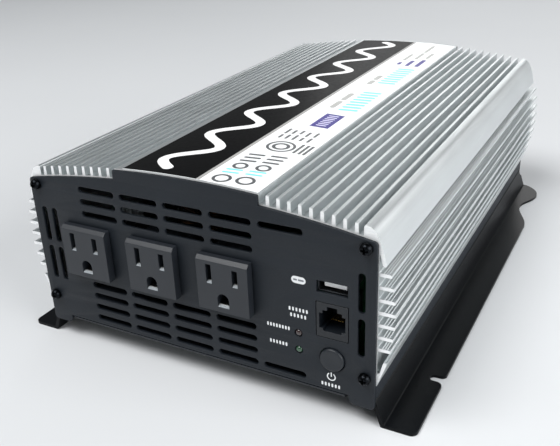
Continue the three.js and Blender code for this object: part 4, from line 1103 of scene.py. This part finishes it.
def flange_cutters(low, high):
    """The front slot, the rear notch with its rounded tab, and the front corner, as cutters.

    Each is (outline, low, high). reach is the flange's outer edge."""
    reach = high.x
    z0, z1 = low.z - 1, low.z + SHEET + 1
    y, r, flare = 41.6, 2.25, 3
    floor = reach - 6.6
    slot = [(reach + 2, y - r - flare), (reach + 0.1, y - r - flare)]
    slot += bezier(slot[-1], (reach, y - r - 1), (reach - 1, y - r), (reach - flare, y - r), 6)
    slot += arc(floor + r, y, r, 270, 90, 12) + [(reach - flare, y + r)]
    slot += bezier(slot[-1], (reach - 1, y + r), (reach, y + r + 1),
                   (reach + 0.1, y + r + flare), 6)
    slot.append((reach + 2, y + r + flare))
    y, front, rear = REAR - 38, 29, 22
    floor, tab, root = reach - 8.6, reach - 2, EDGE + 5.5
    notch = [(reach + 2, y - front), (reach, y - front)]
    notch += bezier(notch[-1], (reach - 1, y - 0.62 * front), (floor, y - 0.35 * front),
                    (floor, y), 14)
    notch += bezier(notch[-1], (floor, y + 0.36 * rear), (tab, y + 0.59 * rear),
                    (tab, y + rear), 14)
    notch += bezier(notch[-1], (tab, y + rear + 5), (tab - 2, REAR - 5), (root, REAR), 8)
    notch += [(root, REAR + 1), (reach + 2, REAR + 1)]
    start = low.y
    corner = [(reach - 3, start - 1), (reach + 1, start - 1), (reach + 1, start + 3),
              (reach, start + 3)]
    corner += arc(reach - 3, start + 3, 3, 0, -90, 6)[1:]
    return [(loop, z0, z1) for loop in (slot, notch, corner)]


class INVERTER_OT_feet(bpy.types.Operator):
    """Folded mounting feet with their slots, and the tray under the housing"""
    bl_idname = "inverter.feet"
    bl_label = "Feet and tray"

    def execute(self, context):
        low, high = spot("foot_right")
        for side, word in ((1, "right"), (-1, "left")):
            foot = prism(f"mounting_foot_{word}",
                         [(side * x, z) for x, z in foot_outline(low, high)],
                         "xz", low.y, high.y, black_powder_coat())
            cutters = [prism("cutter", [(side * x, y) for x, y in loop], "xy", z0, z1,
                             black_powder_coat())
                       for loop, z0, z1 in flange_cutters(low, high)]
            ear = REAR - SHEET - GAP
            xs = sorted((side * (EDGE - 20), side * (EDGE + 4)))
            cutters.append(block("cutter", (xs[0], ear, -EAR_DROP - GAP), (xs[1], REAR + 1, 3),
                                 black_powder_coat()))
            settle(carve(foot, cutters), "foot_powder_coat", f"foot_{word}")
        coat("base_tray", charcoal_powder_coat())
        return {"FINISHED"}


SCREW_HEAD = 2.65  # radius and height of the panel screws' heads
SCREW_DOME = ((0, 1), (0.35, 1), (0.62, 0.92), (0.84, 0.68), (0.97, 0.36), (1, 0.12), (0.99, 0))
SHANK, SHANK_LENGTH = 1.4, 6
CROSS_DEPTH = 1.3


def cross_screw(name, x, y, z, out, head, finish):
    """A pan head screw with a cross recess. out is -1 where it faces the front, 1 at the rear."""
    profile = [(r * head, y + out * h * head) for r, h in SCREW_DOME]
    profile += [(SHANK, y), (SHANK, y - out * SHANK_LENGTH), (0, y - out * SHANK_LENGTH)]
    screw = turned(name, profile, (x, z), "Y", finish, 36)
    reach, arm = head * 0.56, head * 0.15
    y0, y1 = sorted((y + out * (head + 0.5), y + out * (head - CROSS_DEPTH)))
    cutters = [block("cutter", (x - reach, y0, z - arm), (x + reach, y1, z + arm), finish),
               block("cutter", (x - arm, y0, z - reach), (x + arm, y1, z + reach), finish)]
    return carve(screw, cutters)


class INVERTER_OT_screws(bpy.types.Operator):
    """Pan head screws at the corners of both panels"""
    bl_idname = "inverter.screws"
    bl_label = "Panel screws"

    def execute(self, context):
        for end, y, out in (("front", -GAP, -1), ("rear", REAR + GAP, 1)):
            for i in range(4):
                node = f"{end}_screw_{i + 1}"
                place = middle(node)
                screw = cross_screw(f"{end}_pan_screw_{i + 1}", place.x, y, place.z, out,
                                    SCREW_HEAD, black_oxide())
                settle(screw, "black_screw", node)
        return {"FINISHED"}


# ---- Outlets and controls ----

BLADE_REACH = 12.7 / 2         # a plug's two blades stand 12.7 mm apart
BLADE_HALF = 1.3               # half width of their slots
NEUTRAL_FOOT, NEUTRAL_HEIGHT = 43.4, 9.0
LIVE_FOOT, LIVE_HEIGHT = 43.95, 7.9
GROUND_FOOT, GROUND_HEIGHT, GROUND_HALF = 32.8, 6.6, 2.8
SLOT_FRONT, SLOT_BACK = -9, 24  # how far the slots' cutters reach along Y
BROW = 1.6                     # bevel along an outlet's top edge
FACE_RIM = 1.1                 # step from an outlet's face to its narrower body
LIP_HALF, GROUND_LIP_HALF = 1.24, 2.7


class INVERTER_OT_outlets(bpy.types.Operator):
    """Moulded outlets with a bevelled brow, two blade slots and a ground hole"""
    bl_idname = "inverter.outlets"
    bl_label = "Outlets"

    def execute(self, context):
        for i in range(3):
            low, high = spot(f"outlet_{i + 1}")
            centre = (low.x + high.x) / 2
            side = [(low.y, low.z), (-GAP, low.z), (-GAP, high.z), (low.y + BROW, high.z),
                    (low.y, high.z - BROW)]
            face = prism("face", side, "yz", low.x, high.x, outlet_nylon())
            body = block("body", (low.x + FACE_RIM, -GAP - 0.5, low.z + FACE_RIM),
                         (high.x - FACE_RIM, high.y, high.z - FACE_RIM), outlet_nylon())
            face.modifiers.new("join", "BOOLEAN").object = body
            face.modifiers["join"].operation = "UNION"
            face.data = taken(face)
            face.modifiers.clear()
            bpy.data.objects.remove(body)
            cutters = [self.blade(centre - BLADE_REACH, NEUTRAL_FOOT, NEUTRAL_HEIGHT),
                       self.blade(centre + BLADE_REACH, LIVE_FOOT, LIVE_HEIGHT),
                       self.ground(centre)]
            outlet = soften(carve(face, cutters), 0.28, 3)
            outlet.name = f"mains_outlet_{i + 1}"
            settle(outlet, "outlet_plastic", f"outlet_{i + 1}")
            # The lips are contacts, and their pale tin is also a painted reflection at the foot of
            # each slot.
            lips = [self.lip(centre - BLADE_REACH, LIP_HALF, NEUTRAL_FOOT),
                    self.lip(centre + BLADE_REACH, LIP_HALF, LIVE_FOOT),
                    self.lip(centre, GROUND_LIP_HALF, GROUND_FOOT)]
            settle(merged(f"contact_lips_with_painted_reflection_{i + 1}", lips), "plated_steel")
        for pole in ("neutral", "live", "earth"):
            coat(f"{pole}_contact_strip", nickel_plate())
        return {"FINISHED"}

    def blade(self, x, bottom, height):
        return block("cutter", (x - BLADE_HALF, SLOT_FRONT, bottom),
                     (x + BLADE_HALF, SLOT_BACK, bottom + height), outlet_nylon())

    def lip(self, x, half, bottom):
        """A contact's flared lip, which shows at the foot of its slot; its pale tin is a painted
        reflection on the slot's floor.
        """
        front = spot("outlet_1")[0].y
        side = [(front + 0.15, bottom + 0.02), (front + 0.15, bottom + 0.35),
                (front + 1.7, bottom + 1), (front + 2.1, bottom + 1), (front + 2.3, bottom + 0.02)]
        return prism("lip", side, "yz", x - half, x + half, tin_with_painted_reflection())

    def ground(self, x):
        outline = [(x - GROUND_HALF, GROUND_FOOT), (x + GROUND_HALF, GROUND_FOOT)]
        outline += arc(x, GROUND_FOOT + GROUND_HEIGHT - GROUND_HALF, GROUND_HALF, 0, 180, 16)
        return prism("cutter", outline, "xz", SLOT_FRONT, SLOT_BACK, outlet_nylon())


JACK_PITCH = 1.02  # of a modular socket's springs
LAMP_RADIUS = 1.5


class INVERTER_OT_controls(bpy.types.Operator):
    """Charging port, remote socket, push button and indicators, with the board behind them"""
    bl_idname = "inverter.controls"
    bl_label = "Controls"

    def execute(self, context):
        self.port()
        self.socket()
        self.button()
        self.indicators()
        coat("power_switch", black_abs())
        coat("button_spring", nickel_plate())
        coat("control_board", solder_mask())
        return {"FINISHED"}

    def port(self):
        low, high = spot("usb_shell")
        # The shell's dark tin is painted shade inside the port.
        shell = plate("port_shell", rounded_box(low.x, high.x, low.z, high.z, 0.6),
                      [rounded_box(low.x + 0.5, high.x - 0.5, low.z + 0.5, high.z - 0.5, 0.4)],
                      "xz", low.y, high.y, shadowed_nickel(), 0.08)
        settle(shell, "plated_steel", "usb_shell")
        low, high = spot("usb_tongue")
        drop = 0.5  # the tongue stands this much under its CAD solid's place
        bottom = low.z - drop
        blade = block("port_blade", (low.x + 0.9, low.y, bottom), (high.x, high.y, high.z - drop),
                      white_nylon())
        settle(soften(blade, 0.2), "white_plastic", "usb_tongue")
        pads = []
        for i in range(4):
            x = low.x + 1.2 + 2.6 * i
            pads.append(block(f"port_pad_{i}", (x, low.y + 0.6, bottom - 0.12),
                              (x + 1.2, low.y + 9, bottom + 0.02), gold_flash()))
        settle(merged("port_contacts", pads), "brass")

    def socket(self):
        """A modular jack: a stepped opening for the plug and its latch, over six springs."""
        low, high = spot("remote_jack")
        x = (low.x + high.x) / 2
        half, bottom = 5.7, 30.9
        top = bottom + 8.2
        steps = ((half - 1.7, bottom), (half - 1.7, bottom + 1.1), (half, bottom + 1.1),
                 (half, top), (half - 1.5, top), (half - 1.5, top + 1.5), (2.2, top + 1.5),
                 (2.2, top + 3.4))
        opening = [(x + u, v) for u, v in steps] + [(x - u, v) for u, v in reversed(steps)]
        body = plate("socket_body", rounded_box(low.x, high.x, low.z, high.z, 0.3), [opening], "xz",
                     low.y, high.y - 2.4, jack_nylon(), 0.14)
        back = block("socket_back", (low.x, high.y - 2.5, low.z), (high.x, high.y, high.z),
                     jack_nylon())
        settle(merged("remote_socket", [body, back]), "black_plastic", "remote_jack")
        runs = []
        for i in range(6):
            u = x + (i - 2.5) * JACK_PITCH
            runs.append([(u, 5.2, bottom + 2.9), (u, 5.6, bottom + 2.3), (u, 7.5, bottom + 2.4),
                         (u, 10.5, bottom + 1.9), (u, 12, bottom + 1.7)])
        springs = wire("spring_contacts", runs, 0.24, gold_flash())
        settle(springs, "brass", "jack_contacts")

    def button(self):
        place = middle("power_button")
        low, high = spot("power_button")
        r = high.x - place.x
        front = low.y  # of a face that is slightly hollow and rounded at its rim
        profile = [(0, front + 0.3), (r * 0.35, front + 0.24), (r * 0.62, front + 0.1),
                   (r - 0.95, front + 0.02), (r - 0.55, front + 0.08), (r - 0.22, front + 0.34),
                   (r - 0.05, front + 0.75), (r, front + 1.2),
                   (r, 4), (1.7, 4), (1.7, 9), (0, 9)]
        cap = turned("button_cap", profile, (place.x, place.z), "Y", button_abs(), 64, 40)
        settle(cap, "black_plastic", "power_button", body="power_button")

    def indicators(self):
        dome = [(LAMP_RADIUS * sin(radians(a)), 0.75 - 1.15 * cos(radians(a)))
                for a in range(0, 91, 10)]
        profile = dome + [(LAMP_RADIUS, 3), (2, 3), (2, 4), (0, 4)]
        for node, slot, finish in (("protect_led", "red_lens", red_lens()),
                                   ("power_led", "green_lens", green_lens())):
            place = middle(node)
            settle(turned(node + "_lens", profile, (place.x, place.z), "Y", finish, 28), slot, node)


# ---- Rear fittings ----

BLADES = 7
HUB = 9.0          # radius of a fan's hub
BLADE_ROOT = 8.6   # just inside the hub
BLADE_TIP = 22.1
CHORD = 13.5
ROOT_PITCH, TIP_PITCH = 50, 32  # degrees
GUARD_RINGS = (9, 16, 23)
GUARD_WIRE = 0.85


class INVERTER_OT_fans(bpy.types.Operator):
    """Cooling fans: frames with struts, seven bladed rotors and wire guards with their screws"""
    bl_idname = "inverter.fans"
    bl_label = "Fans"

    def execute(self, context):
        for word in ("left", "right"):
            self.frame(word)
            self.rotor(word)
            self.guard(word)
        return {"FINISHED"}

    def frame(self, word):
        low, high = spot(f"fan_frame_{word}")
        x, z, half = (low.x + high.x) / 2, (low.z + high.z) / 2, (high.x - low.x) / 2
        bore = half - FAN_RIM
        corners = [round_loop(x + sx * (half - 4), z + sz * (half - 4), 1.6, 18)
                   for sx in (-1, 1) for sz in (-1, 1)]
        shell = plate("shell", rounded_box(low.x, high.x, low.z, high.z, 3.5, 6),
                      [round_loop(x, z, bore, 90)] + corners, "xz", low.y, high.y,
                      black_abs(), 0.25)
        hub = turned("hub", [(1.8, low.y + 2), (1.8, low.y), (HUB - 0.4, low.y), (HUB, low.y + 0.4),
                             (HUB, low.y + 2), (1.8, low.y + 2)], (x, z), "Y", black_abs(), 36)
        struts = [hub]
        for i in range(4):
            a = tau * i / 4
            u, v = cos(a), sin(a)
            inner, outer, half_width = 8.5, bore + 0.6, 1.2
            outline = [(x + r * u - t * v, z + r * v + t * u)
                       for r, t in ((inner, half_width), (inner, -half_width),
                                    (outer, -half_width), (outer, half_width))]
            struts.append(prism("strut", outline, "xz", low.y, low.y + 2, black_abs()))
        settle(merged(f"fan_housing_{word}", [shell, *struts]), "black_plastic",
               f"fan_frame_{word}")

    def rotor(self, word):
        low, high = spot(f"fan_rotor_{word}")
        x, z = middle(f"fan_frame_{word}").x, middle(f"fan_frame_{word}").z
        front, back = low.y + 2.6, high.y
        profile = [(0, low.y), (1.5, low.y), (1.5, front), (HUB - 0.6, front), (HUB, front + 0.5),
                   (HUB, back - 0.9), (HUB - 0.8, back - 0.1), (4.6, back), (4.4, back - 0.25),
                   (0, back - 0.25)]
        hub = turned("hub", profile, (x, z), "Y", black_abs(), 48)
        parts = [hub]
        depth = back - front
        rows, columns = 7, 6
        for blade in range(BLADES):
            points, faces = [], []
            for j in range(rows):
                outwards = j / (rows - 1)
                r = BLADE_ROOT + (BLADE_TIP - BLADE_ROOT) * outwards
                pitch = radians(ROOT_PITCH + (TIP_PITCH - ROOT_PITCH) * outwards)
                sweep = 0.054 * (r - BLADE_ROOT) ** 1.4
                for k in range(columns):
                    t = k / (columns - 1) - 0.5
                    a = tau * blade / BLADES + (t * CHORD * cos(pitch) + sweep) / r
                    along = (front + back) / 2 + t * min(CHORD * sin(pitch), depth * 0.9)
                    camber = 0.6 * (0.25 - t * t)
                    points.append((x + r * cos(a), along + camber, z + r * sin(a)))
            for j in range(rows - 1):
                for k in range(columns - 1):
                    a = j * columns + k
                    faces.append((a, a + 1, a + columns + 1, a + columns))
            vane = solid("vane", points, faces, black_abs())
            thick = vane.modifiers.new("thick", "SOLIDIFY")
            thick.thickness = 0.9 * MM
            thick.offset = 0
            parts.append(vane)
        settle(merged(f"fan_blades_{word}", parts), "black_plastic", f"fan_rotor_{word}",
               body=f"fan_{word}")
        sticker = [(0, back - 0.2), (4.1, back - 0.2), (4.1, back - 0.12), (0, back - 0.12)]
        settle(turned(f"fan_sticker_{word}", sticker, (x, z), "Y", printed("#c9ccce"), 36),
               "black_plastic", body=f"fan_{word}")

    def guard(self, word):
        low, high = spot(f"fan_guard_{word}")
        x, z = middle(f"fan_frame_{word}").x, middle(f"fan_frame_{word}").z
        y = (low.y + high.y) / 2
        reach = (high.x - low.x) / 2 - 3  # from the middle to each corner's screw
        rings = [[(u, y - 0.25, v) for u, v in round_loop(x, z, r, 48)] for r in GUARD_RINGS]
        parts = [wire("rings", rings, GUARD_WIRE, nickel_plate(), closed=True)]
        spokes = []
        for a in range(45, 360, 90):
            u, v = cos(radians(a)), sin(radians(a))
            far = reach * sqrt(2) - 2.6
            spokes.append([(x + r * u, y + 0.2, z + r * v) for r in (8.6, (8.6 + far) / 2, far)])
        parts.append(wire("spokes", spokes, 0.8, nickel_plate()))
        for sx in (-1, 1):
            for sz in (-1, 1):
                u, v = x + sx * reach, z + sz * reach
                eye = [(p, y, q) for p, q in round_loop(u, v, 2.3, 20)]
                parts.append(wire("eye", [eye], 0.75, nickel_plate(), closed=True))
                parts.append(cross_screw("screw", u, y + 0.6, v, 1, 2.7, black_oxide()))
        settle(merged(f"wire_guard_{word}", parts), "plated_steel", f"fan_guard_{word}")


STUD_RADIUS, STUD_PITCH = 4, 1.25
EARTH_RADIUS, EARTH_PITCH = 2.5, 0.8
STUD_CLEAR = 4.3    # bore of what goes round a stud
RIBS = 16           # round a thumb nut
RIB_HEIGHT = 0.8
THREAD_DEPTH = 0.45
HEX_RADIUS = 4.35   # over the earth nut's corners


def threaded(radius, y0, y1, pitch):
    """Profile points of a thread's crests and roots from y0 to y1."""
    count = int((y1 - y0) / pitch)
    root = radius - THREAD_DEPTH
    points = []
    for i in range(count):
        y = y0 + pitch * i
        points += [(root, y), (radius, y + 0.4 * pitch), (radius, y + 0.6 * pitch)]
    return points + [(root, y0 + pitch * count)]


class INVERTER_OT_terminals(bpy.types.Operator):
    """Battery terminals with their bases, studs and thumb nuts, and the earth stud"""
    bl_idname = "inverter.terminals"
    bl_label = "Terminals"

    def execute(self, context):
        for word, plastic, slot in (("negative", black_abs(), "black_plastic"),
                                    ("positive", red_abs(), "red_plastic")):
            self.base(word, plastic, slot)
            self.stud(word)
            self.knob(word, plastic, slot)
        self.earth()
        return {"FINISHED"}

    def base(self, word, plastic, slot):
        low, high = spot(f"{word}_terminal_base")
        stud = middle(f"{word}_terminal_stud")
        y0 = REAR + GAP
        shelf = plate("shelf", rounded_box(low.x, high.x, low.z, high.z, 2.5, 6),
                      [round_loop(stud.x, stud.z, STUD_CLEAR, 36)], "xz", y0, high.y,
                      plastic, 0.7, 4)
        profile = [(STUD_CLEAR, low.y), (6, low.y), (6, y0 + 0.5), (STUD_CLEAR, y0 + 0.5),
                   (STUD_CLEAR, low.y)]
        sleeve = turned("sleeve", profile, (stud.x, stud.z), "Y", plastic)
        settle(merged(f"terminal_shelf_{word}", [shelf, sleeve]), slot, f"{word}_terminal_base")
        x, z, arm, line = stud.x, high.z - 3.6, 1.6, 0.9
        sign = [([(x - arm, z), (x + arm, z)], line, False)]
        if word == "positive":
            sign.append(([(x, z - arm), (x, z + arm)], line, False))
        lift = lambda u, v: (u, high.y + INK, v)
        settle(strokes(f"terminal_sign_{word}", sign, lift, printed("#f0f0ee")), slot)

    def stud(self, word):
        low, high = spot(f"{word}_terminal_stud")
        place = middle(f"{word}_terminal_stud")
        profile = [(0, low.y), (6, low.y), (6.5, low.y + 0.5), (6.5, low.y + 5.5), (6, low.y + 6),
                   (STUD_RADIUS, low.y + 6), (STUD_RADIUS, REAR + 6)]
        profile += threaded(STUD_RADIUS, REAR + 7, high.y - 1.2, STUD_PITCH)
        profile += [(3.2, high.y), (0, high.y)]
        rod = turned(f"threaded_stud_{word}", profile, (place.x, place.z), "Y", turned_brass(), 40)
        settle(rod, "brass", f"{word}_terminal_stud")

    def knob(self, word, plastic, slot):
        low, high = spot(f"{word}_terminal_knob")
        place = middle(f"{word}_terminal_stud")
        radius = (high.z - low.z) / 2
        outline = []
        steps = 10 * RIBS
        for i in range(steps):
            a = tau * i / steps
            r = radius - RIB_HEIGHT / 2 + RIB_HEIGHT / 2 * cos(RIBS * a)
            outline.append((place.x + r * cos(a), place.z + r * sin(a)))
        grip = plate("grip", outline, [round_loop(place.x, place.z, 5.6, 45)], "xz", low.y, high.y,
                     plastic, 0.7, 4)
        profile = [(STUD_CLEAR, low.y), (5.7, low.y), (5.7, high.y - 0.4), (5.3, high.y - 0.15),
                   (4.7, high.y - 0.15), (STUD_CLEAR, high.y - 0.5), (STUD_CLEAR, low.y)]
        insert = turned("insert", profile, (place.x, place.z), "Y", turned_brass(), 40)
        settle(merged(f"thumb_nut_{word}", [grip, insert]), slot, f"{word}_terminal_knob",
               body=f"{word}_knob")

    def earth(self):
        place = middle("earth_stud")
        low, high = spot("earth_stud")
        y0 = REAR + GAP
        top = y0 + 5  # of the nut
        profile = [(EARTH_RADIUS, y0), (5.5, y0), (5.5, y0 + 1), (5.2, y0 + 1.15),
                   (EARTH_RADIUS, y0 + 1.15), (EARTH_RADIUS, y0)]
        washer = turned("washer", profile, (place.x, place.z), "Y", nickel_plate(), 36)
        nut = plate("nut", round_loop(place.x, place.z, HEX_RADIUS, 6),
                    [round_loop(place.x, place.z, 2.55, 18)], "xz", y0 + 1.2, top, nickel_plate(),
                    0.35, 3)
        profile = [(0, low.y), (EARTH_RADIUS, low.y), (EARTH_RADIUS, top)]
        profile += threaded(EARTH_RADIUS, top, high.y - 0.5, EARTH_PITCH) + [(2, high.y),
                                                                             (0, high.y)]
        rod = turned("rod", profile, (place.x, place.z), "Y", nickel_plate(), 28)
        settle(merged("earth_post", [washer, nut, rod]), "plated_steel", "earth_stud")


# ---- Inside ----

BATTERY_CABLE, MAINS_CABLE = 3.9, 2.9  # radii


class INVERTER_OT_inside(bpy.types.Operator):
    """Boards, transformers, capacitors, choke, transistor rows and leads inside the housing"""
    bl_idname = "inverter.inside"
    bl_label = "Inside parts"

    def execute(self, context):
        coat("main_board", solder_mask())
        for i in (1, 2):
            coat(f"transformer_core_{i}", sintered_ferrite())
            coat(f"transformer_winding_{i}", wound_copper())
            for kind in ("bus", "input"):
                self.capacitor(f"{kind}_capacitor_{i}")
        for word in ("left", "right"):
            coat(f"transistor_row_{word}", milled_aluminium())
        self.choke()
        self.leads()
        return {"FINISHED"}

    def capacitor(self, node):
        low, high = spot(node)
        x, y, r = (low.x + high.x) / 2, (low.y + high.y) / 2, (high.x - low.x) / 2
        profile = [(0, low.z), (r - 0.6, low.z), (r, low.z + 0.6), (r, low.z + 2.4),
                   (r - 0.5, low.z + 3),
                   (r, low.z + 3.6), (r, high.z - 1), (r - 0.4, high.z - 0.3), (r - 1, high.z),
                   (r - 2.2, high.z),
                   (r - 2.6, high.z - 0.5), (0, high.z - 0.6)]
        settle(turned(node + "_can", profile, (x, y), "Z", shrink_sleeve(), 40), "capacitor_sleeve",
               node)

    def choke(self):
        low, high = spot("output_choke")
        centre = (low + high) / 2
        core_radius, winding = 13.0, 5.2
        turns, steps = 34, 10
        path = []
        for i in range(turns * steps):
            around = tau * i / steps
            along = tau * i / (turns * steps)
            r = core_radius + winding * cos(around)
            path.append((centre.x + winding * sin(around), centre.y + r * cos(along),
                         centre.z + r * sin(along)))
        coil = wire("coil", [path], 1.1, wound_copper(), closed=True)
        core = [(centre.x, v, w) for v, w in round_loop(centre.y, centre.z, core_radius, 40)]
        body = wire("core", [core], 4.2, sintered_ferrite(), closed=True)
        settle(merged("wound_choke", [coil, body]), "copper_winding", "output_choke")

    def leads(self):
        for word, finish, slot in (("negative", black_vinyl(), "black_cable"),
                                   ("positive", red_vinyl(), "red_cable")):
            x, z = middle(f"{word}_terminal_stud").x, middle(f"{word}_terminal_stud").z
            y = REAR - 22.3
            foot = spot(f"{word}_battery_lead")[0].z
            path = [(x, y, z), (x, y - 8, z), (x, y - 17, z - 9), (x, y - 19, z - 22),
                    (x, y - 19, foot)]
            cable = wire(f"battery_cable_{word}", [path], BATTERY_CABLE, finish)
            settle(cable, slot, f"{word}_battery_lead")
        low, high = spot("outlet_lead")
        x = (low.x + high.x) / 2
        start = high.y - 3
        path = [(x, start, low.z), (x, start, low.z + 14), (x, low.y + 8, high.z - 3),
                (x, low.y, high.z - 3)]
        cable = wire("mains_cable", [path], MAINS_CABLE, black_vinyl())
        settle(cable, "black_cable", "outlet_lead")


# ---- Stage ----

EYE = (171.1, -230.2, 199.1)  # camera's place in the same millimetres as the pieces
YAW, PITCH, ROLL = 28.58, -25.22, -2.26
LENS = 48.0
FLOOR_REACH = 4.0             # metres
AIM = Vector((0, 0, 0.05))    # where every light points
LIGHTS = (                    # name, place, width and height in metres, power in watts
    ("key_light", (1.6, 1.0, 0.8), 1.7, 0.8, 8),
    ("side_light", (1.7, -0.3, 0.8), 1.5, 1.2, 31),
    ("front_light", (-0.5, -0.9, 1.7), 1.2, 0.9, 34),
    ("back_light", (-0.25, 1.9, 0.8), 1.3, 0.6, 6),
)


def soft_light(name, place, width, height, power):
    """A rectangle of soft white light."""
    data = bpy.data.lights.new(name, "AREA")
    data.shape = "RECTANGLE"
    data.size = width
    data.size_y = height
    data.energy = power
    light = bpy.data.objects.new(name, data)
    light.location = place
    light.rotation_euler = (AIM - Vector(place)).to_track_quat("-Z", "Y").to_euler()
    bpy.context.collection.objects.link(light)


class INVERTER_OT_stage(bpy.types.Operator):
    """Camera, pale floor and soft studio light"""
    bl_idname = "inverter.stage"
    bl_label = "Stage"

    def execute(self, context):
        self.camera(context)
        floor = bpy.data.meshes.new("floor")
        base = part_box("foot_right")[0][2]
        corners = [(x * FLOOR_REACH, y * FLOOR_REACH, base)
                   for x, y in ((-1, -1), (1, -1), (1, 1), (-1, 1))]
        floor.from_pydata(corners, [], [(0, 1, 2, 3)])
        floor.materials.append(painted_floor())
        linked("studio_floor", floor)
        for light in LIGHTS:
            soft_light(*light)
        world = bpy.data.worlds.new("studio_air")
        world.use_nodes = True
        tree = world.node_tree
        tree.nodes.clear()
        height = add(tree, "SeparateXYZ", {"Vector": add(tree, "TexCoord", out="Generated")},
                     out="Z")
        climb = add(tree, "MapRange", {"Value": height, "From Max": 0.7})
        sky = add(tree, "Mix", {0: climb, 6: linear("#f6f8f9"), 7: linear("#6d747a")}, out=2,
                  data_type="RGBA")
        air = add(tree, "Background", {"Color": sky, "Strength": 0.46})
        add(tree, "OutputWorld", {"Surface": air})
        context.scene.world = world
        context.scene.view_settings.view_transform = "Standard"
        return {"FINISHED"}

    def camera(self, context):
        """A camera turned by yaw, then pitch, then roll."""
        data = bpy.data.cameras.new("camera")
        data.lens = LENS
        data.sensor_width = 36
        data.sensor_fit = "HORIZONTAL"
        data.clip_start = 0.01
        eye = bpy.data.objects.new("camera", data)
        yaw, pitch, roll = radians(YAW), radians(PITCH), radians(ROLL)
        ahead = Vector((-sin(yaw) * cos(pitch), cos(yaw) * cos(pitch), sin(pitch)))
        right = Vector((cos(yaw), sin(yaw), 0))
        up = right.cross(ahead)
        rolled = right * cos(roll) + up * sin(roll)
        upright = up * cos(roll) - right * sin(roll)
        turn = Matrix((rolled, upright, -ahead)).transposed()
        eye.matrix_world = Matrix.Translation(point(*EYE)) @ turn.to_4x4()
        bpy.context.collection.objects.link(eye)
        context.scene.camera = eye


OPERATORS = (
    INVERTER_OT_stage,
    INVERTER_OT_housing,
    INVERTER_OT_label,
    INVERTER_OT_front_panel,
    INVERTER_OT_rear_panel,
    INVERTER_OT_feet,
    INVERTER_OT_screws,
    INVERTER_OT_outlets,
    INVERTER_OT_controls,
    INVERTER_OT_fans,
    INVERTER_OT_terminals,
    INVERTER_OT_inside,
)


class INVERTER_PT_tools(bpy.types.Panel):
    """Lists the inverter's pieces in the sidebar"""
    bl_label = "Power Inverter"
    bl_idname = "INVERTER_PT_tools"
    bl_space_type = "VIEW_3D"
    bl_region_type = "UI"
    bl_category = "Inverter"

    def draw(self, context):
        for group in (context.scene.inverter_sizes, context.scene.inverter_colours):
            for name in group.__annotations__:
                self.layout.prop(group, name)
        for operator in OPERATORS:
            self.layout.operator(operator.bl_idname)


CLASSES = (InverterSizes, InverterColours, *OPERATORS, INVERTER_PT_tools)


def register():
    for cls in CLASSES:
        bpy.utils.register_class(cls)
    bpy.types.Scene.inverter_sizes = PointerProperty(type=InverterSizes)
    bpy.types.Scene.inverter_colours = PointerProperty(type=InverterColours)


def unregister():
    del bpy.types.Scene.inverter_colours
    del bpy.types.Scene.inverter_sizes
    for cls in reversed(CLASSES):
        bpy.utils.unregister_class(cls)


def main():
    register()
    for operator in OPERATORS:
        group, name = operator.bl_idname.split(".")
        getattr(getattr(bpy.ops, group), name)()


if __name__ == "__main__":
    main()
